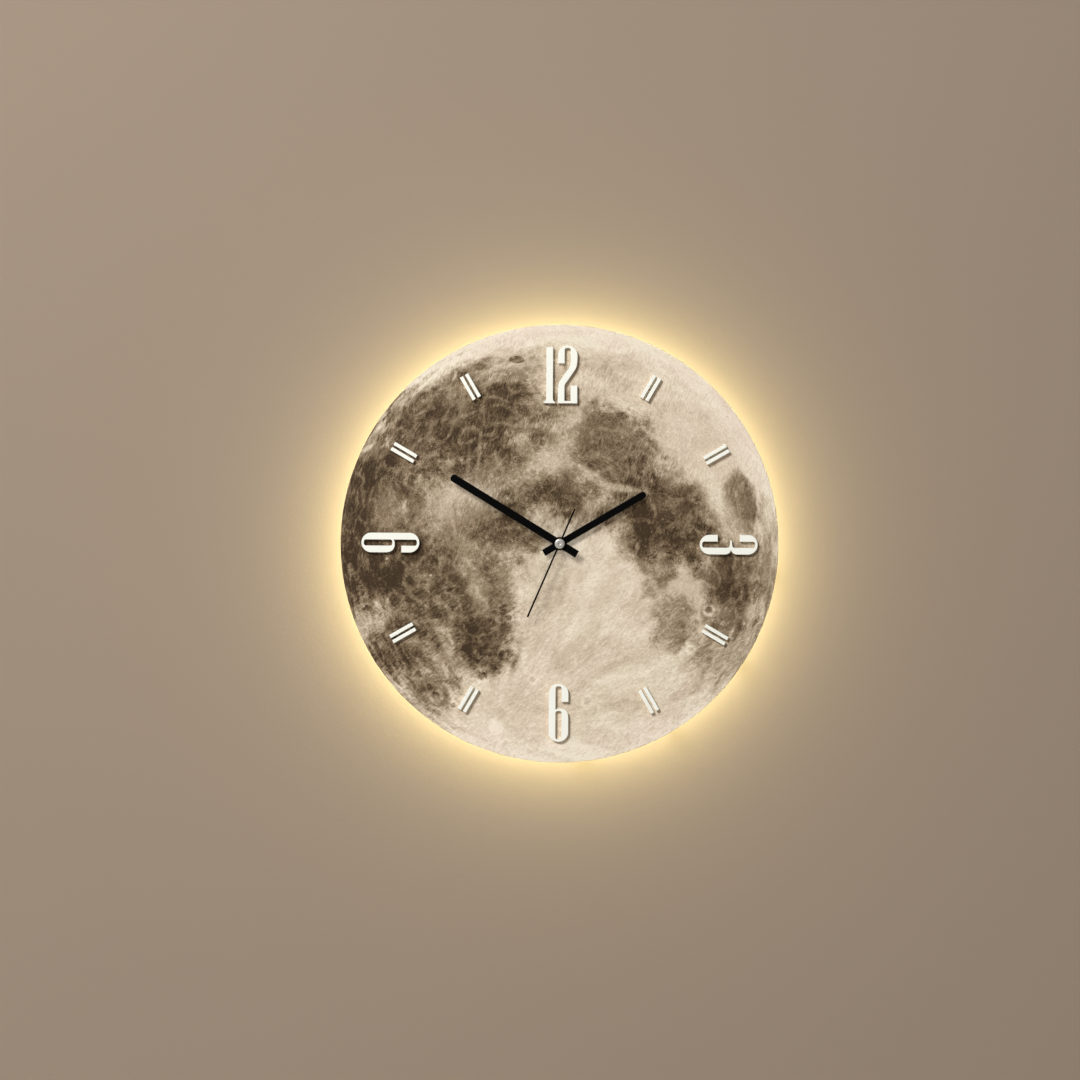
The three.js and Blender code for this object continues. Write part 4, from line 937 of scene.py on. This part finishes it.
class MOONCLOCK_OT_hands(bpy.types.Operator):
    """Round and paint the hands, and turn the silver boss"""

    bl_idname = "moon_clock.hands"
    bl_label = "Hands"

    def execute(self, context):
        black = black_paint()
        edge = settings().hands.edge
        rounded_piece("hour_hand", black, edge)
        rounded_piece("minute_hand", black, edge)
        rounded_piece("second_hand", black, edge / 2)
        self.boss()
        return {"FINISHED"}

    def boss(self):
        """A cap with a rounded rim, a shallow dish and a dark centre."""
        low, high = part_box("second_hand_boss")
        _, rim = ring_radii("second_hand_boss")
        front, back = low.y, high.y
        clearance = 0.05 * MM
        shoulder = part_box("second_hand")[0].y - clearance
        neck = 1.5 * MM
        dish, dish_floor = 0.9 * MM, front + 0.5 * MM
        profile = (
            (0, dish_floor),
            (dish * 0.8, dish_floor),
            (dish, front),
            (rim - 0.8 * MM, front),
            (rim - 0.3 * MM, front + 0.2 * MM),
            (rim, front + 0.6 * MM),
            (rim, shoulder),
            (neck, shoulder),
            (neck, back),
            (0, back),
        )
        form = round_edges(turned(profile, ROUND_SIDES), 0.1 * MM)
        piece("finished_second_hand_boss", form, [turned_silver()], "second_hand_boss")


class MOONCLOCK_OT_drum(bpy.types.Operator):
    """Finish the drum, its tape, the rear cover, its screws and the cable grommet"""

    bl_idname = "moon_clock.drum"
    bl_label = "Drum"

    def execute(self, context):
        case = settings().case
        white = moulded("white_moulding", case.white, 0.48, 0.4, 0.03)
        steel = metal("bright_zinc", srgb(186, 188, 190), 0.3)
        rubber = moulded("black_rubber", srgb(34, 34, 34), 0.8, 0.5, 0.03)
        rounded_piece("back_housing", white, case.edge)
        rounded_piece("rear_cover", white, case.edge)
        rounded_piece("led_driver", white, 2 * case.edge, 3)
        for node in sorted(NODES):
            if node.startswith("cover_screw_"):
                rounded_piece(node, steel, 0.12 * MM)
        rounded_piece("cable_grommet", rubber, 0.5 * MM, 3)
        paint_nodes(rubber, "strip_lead", "feed_lead")
        tape = foam("black_foam", srgb(40, 39, 38))
        inner, outer = ring_radii("foam_tape_ring")
        low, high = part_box("foam_tape_ring")
        profile = ((inner, low.y), (outer, low.y), (outer, high.y), (inner, high.y))
        piece("finished_foam_tape_ring", turned(profile, DIAL_SIDES), [tape], "foam_tape_ring")
        paint_nodes(tape, "movement_pad")
        rounded_piece("terminal_block", moulded("terminal_moulding", case.natural), case.edge)
        return {"FINISHED"}


class MOONCLOCK_OT_glow(bpy.types.Operator):
    """Wind the strip of light round the drum, chip by chip"""

    bl_idname = "moon_clock.glow"
    bl_label = "Light strip"

    def execute(self, context):
        form = round_edges(solid_of("led_strip"), 0.08 * MM)
        inner, outer = ring_radii("led_strip")
        film = inner + 0.35 * MM
        chip_top = outer - 0.25 * MM
        outward = 0.95
        window_edge, window_depth = 0.4 * MM, 0.12 * MM
        tops = []
        for face in form.faces:
            centre = face.calc_center_median()
            out = Vector((centre.x, 0, centre.z))
            face.material_index = 1 if out.length > film else 0
            if out.length > chip_top and face.normal.dot(out.normalized()) > outward:
                tops.append(face)
        bmesh.ops.inset_individual(form, faces=tops, thickness=window_edge, depth=-window_depth)
        for face in tops:
            face.material_index = 2
        body = moulded("chip_body", srgb(240, 238, 232), 0.4)
        piece("finished_led_strip", form, [strip_film(), body, lit_phosphor()], "led_strip")
        return {"FINISHED"}


class MOONCLOCK_OT_movement(bpy.types.Operator):
    """Finish the quartz movement, its battery and the setting knob"""

    bl_idname = "moon_clock.movement"
    bl_label = "Movement"

    def execute(self, context):
        case = settings().case
        black = moulded("black_moulding", case.black, 0.46, 0.3, 0.03)
        natural = moulded("natural_moulding", case.natural, 0.45)
        brass = metal("brass", srgb(196, 158, 84), 0.3)
        steel = metal("blued_steel", srgb(150, 152, 156), 0.32)
        nickel = metal("nickel", srgb(206, 204, 198), 0.22)
        rounded_piece("case_front", black, case.edge)
        rounded_piece("case_back", black, case.edge / 2)
        rounded_piece("setting_knob", moulded("red_moulding", case.knob, 0.5), 0.15 * MM)
        rounded_piece("battery_plate", nickel, 0.1 * MM)
        rounded_piece("battery_spring", nickel, 0.1 * MM)
        paint_nodes(brass, "second_wheel", "centre_wheel")
        paint_nodes(natural, "third_wheel", "minute_wheel", "hour_wheel", "step_wheel")
        paint_nodes(steel, "rotor", "motor_stator", "coil_core", "quartz_crystal")
        paint_nodes(copper_winding(), "motor_coil")
        paint_nodes(circuit(), "circuit_board")
        paint_nodes(black, "clock_chip")
        self.battery(nickel)
        return {"FINISHED"}

    def battery(self, nickel):
        """A cell with a rolled shoulder, a sleeve and bright ends."""
        low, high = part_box("aa_battery")
        can = (high.z - low.z) / 2
        middle = ((low.y + high.y) / 2, (low.z + high.z) / 2)
        start, end = low.x, high.x
        nub, nub_height, roll = 2.7 * MM, 1.2 * MM, 0.7 * MM
        profile = (
            (0, start),
            (nub, start),
            (nub, start + nub_height),
            (can - 1.5 * roll, start + nub_height),
            (can - 1.2 * roll, start + nub_height + 0.4 * roll),
            (can - 0.3 * roll, start + nub_height + 0.3 * roll),
            (can, start + nub_height + roll),
            (can, end - roll),
            (can - 0.3 * roll, end - 0.3 * roll),
            (can - 1.2 * roll, end - 0.2 * roll),
            (can - 2 * roll, end),
            (0, end),
        )
        form = round_edges(turned(profile, ROUND_SIDES, middle, "X"), 0.12 * MM)
        for face in form.faces:
            centre = face.calc_center_median()
            reach = math.hypot(centre.y - middle[0], centre.z - middle[1])
            face.material_index = 0 if reach > can - 1.1 * roll else 1
        piece("finished_aa_battery", form, [battery_sleeve(), nickel], "aa_battery")


# Places and sizes of the stage, in metres
Lamp = namedtuple("Lamp", "name place size")
CRISP_LAMP = Lamp("crisp_key_lamp", (-1.15, -2.4, 1.35), 0.24)
SOFT_LAMP = Lamp("soft_key_lamp", (-1.4, -2.4, 1.68), 0.8)
REAR_LAMPS = (
    Lamp("rear_lamp_left", (1.2, 1.6, 1.0), 0.8),
    Lamp("rear_lamp_right", (-1.4, 1.4, 0.3), 0.8),
)
WALL_PLACE = (0, 0.4 * MM, 0.6)
FLOOR_PLACE = (0, 0, -1.4)
STAGE_HALF = 4
ROOM_LIGHT = (1.0, 0.985, 0.96)
ROOM_BACKGROUND = srgb(214, 208, 199)
BEHIND_RIM = ("dial_panel", "foam_tape_ring", "led_strip")
HANDS = ("hour_hand", "minute_hand", "second_hand", "second_hand_boss")


class MOONCLOCK_OT_stage(bpy.types.Operator):
    """Stand the clock on a plain wall above a pale floor, with soft lamps and the camera"""

    bl_idname = "moon_clock.stage"
    bl_label = "Stage"

    def execute(self, context):
        stage = settings().stage
        self.sheet("wall", Matrix.Rotation(math.pi / 2, 4, "X"), WALL_PLACE, self.wall_paint())
        self.sheet("floor", Matrix.Identity(4), FLOOR_PLACE, self.floor_paint())
        self.shadows_from(self.lamp(CRISP_LAMP, stage.key), BEHIND_RIM + HANDS)
        self.shadows_from(self.lamp(SOFT_LAMP, stage.soft), BEHIND_RIM)
        for rear in REAR_LAMPS:
            self.lamp(rear, stage.rear)
        self.world()
        self.camera()
        return {"FINISHED"}

    def sheet(self, name, turn, place, material):
        """A large square of the stage."""
        form = bmesh.new()
        bmesh.ops.create_grid(form, x_segments=1, y_segments=1, size=STAGE_HALF)
        form.transform(Matrix.Translation(place) @ turn)
        mesh = bpy.data.meshes.new(name)
        form.to_mesh(mesh)
        form.free()
        mesh.materials.append(material)
        made = bpy.data.objects.new(name, mesh)
        bpy.context.scene.collection.objects.link(made)

    def floor_paint(self):
        """Pale floor paint, lifted a little so that it stays pale in the lamps' shade."""
        tone = settings().stage.floor
        paint = Finish("floor_paint", Roughness=0.7, Emission_Strength=0.4)
        clouds = paint.noise(paint.place(), 300.0, 3.0)
        shade = paint.mottle(clouds, tone, 0.97, 1.03)
        seen = paint.node("ShaderNodeLightPath", output="Is Camera Ray")
        paint.set(Base_Color=shade, Emission_Color=paint.mix(seen, (0, 0, 0), shade))
        return paint.material

    def wall_paint(self):
        """Rolled wall paint, clear from behind and to the lamps behind it."""
        paint = Finish("wall_paint", Roughness=0.9, Specular_IOR_Level=0.1)
        place = paint.place()
        tone = settings().stage.wall
        clouds = paint.noise(place, 260.0, 3.0)
        roller = paint.noise(place, 2.2, 3.0)
        paint.set(Base_Color=paint.mottle(clouds, tone, 0.985, 1.015))
        paint.relief(roller, 0.05)
        behind = paint.node("ShaderNodeNewGeometry", output="Backfacing")
        shadow = paint.node("ShaderNodeLightPath", output="Is Shadow Ray")
        clear = paint.math("MAXIMUM", behind, shadow)
        solid = Value(paint, paint.shader.outputs[0])
        through = paint.node("ShaderNodeBsdfTransparent")
        surface = paint.node("ShaderNodeMixShader", inputs={0: clear, 1: solid, 2: through})
        paint.feed(paint.output.inputs["Surface"], surface)
        return paint.material

    def lamp(self, plan, power):
        """A square lamp aimed at the clock."""
        light = bpy.data.lights.new(plan.name, "AREA")
        light.energy = power
        light.size = plan.size
        made = bpy.data.objects.new(plan.name, light)
        bpy.context.scene.collection.objects.link(made)
        made.location = plan.place
        made.rotation_euler = (-Vector(plan.place)).to_track_quat("-Z", "Y").to_euler()
        made.visible_camera = False
        return made

    def shadows_from(self, lamp, clear):
        """Takes the nodes named out of a lamp's shadows, so that the dial's doesn't cross the halo."""
        passed = {f"finished_{node}" for node in clear}
        casters = bpy.data.collections.new(f"{lamp.name}_casters")
        for made in bpy.context.scene.objects:
            if made.type == "MESH" and made.name not in passed:
                casters.objects.link(made)
        lamp.light_linking.blocker_collection = casters

    def world(self):
        """Even light all round, behind a pale background."""
        stage = settings().stage
        world = bpy.data.worlds.new("soft_room")
        world.use_nodes = True
        bpy.context.scene.world = world
        nodes = Nodes(world.node_tree)
        background = world.node_tree.nodes["Background"]
        seen = nodes.node("ShaderNodeLightPath", output="Is Camera Ray")
        nodes.feed(background.inputs["Color"], nodes.mix(seen, ROOM_LIGHT, ROOM_BACKGROUND))
        nodes.feed(background.inputs["Strength"], stage.fill + seen * (1 - stage.fill))

    def camera(self):
        """A level view square to the dial."""
        stage = settings().stage
        data = bpy.data.cameras.new("front_view")
        data.lens = stage.lens
        away = stage.width * stage.lens / data.sensor_width
        made = bpy.data.objects.new("front_view", data)
        bpy.context.scene.collection.objects.link(made)
        made.location = (-stage.aim_x, DIAL_FRONT - away, stage.aim_z)
        made.rotation_euler = (math.pi / 2, stage.roll, 0)
        bpy.context.scene.camera = made
        bpy.context.scene.view_settings.view_transform = "Standard"


class MOONCLOCK_PT_panel(bpy.types.Panel):
    """Lists the clock's pieces and their settings"""

    bl_idname = "MOONCLOCK_PT_panel"
    bl_label = "Moon clock"
    bl_space_type = "VIEW_3D"
    bl_region_type = "UI"
    bl_category = "Moon clock"

    def draw(self, context):
        for operator, group in STEPS:
            box = self.layout.box()
            box.operator(operator.bl_idname)
            chosen = getattr(context.scene.moon_clock, group)
            for name in chosen.__annotations__:
                box.prop(chosen, name)


STEPS = (
    (MOONCLOCK_OT_dial, "dial"),
    (MOONCLOCK_OT_figures, "figures"),
    (MOONCLOCK_OT_hands, "hands"),
    (MOONCLOCK_OT_drum, "case"),
    (MOONCLOCK_OT_movement, "case"),
    (MOONCLOCK_OT_glow, "glow"),
    (MOONCLOCK_OT_stage, "stage"),
)
CLASSES = (
    PrintSettings,
    FigureSettings,
    HandSettings,
    CaseSettings,
    GlowSettings,
    StageSettings,
    ClockSettings,
    *(operator for operator, _ in STEPS),
    MOONCLOCK_PT_panel,
)


def register():
    """Registers the settings, operators and panel."""
    for known in CLASSES:
        bpy.utils.register_class(known)
    bpy.types.Scene.moon_clock = PointerProperty(type=ClockSettings)


def unregister():
    """Takes them out again."""
    del bpy.types.Scene.moon_clock
    for known in reversed(CLASSES):
        bpy.utils.unregister_class(known)


def main():
    """Builds the clock and its stage."""
    register()
    for operator, _ in STEPS:
        getattr(bpy.ops.moon_clock, operator.bl_idname.split(".")[1])()


if __name__ == "__main__":
    main()
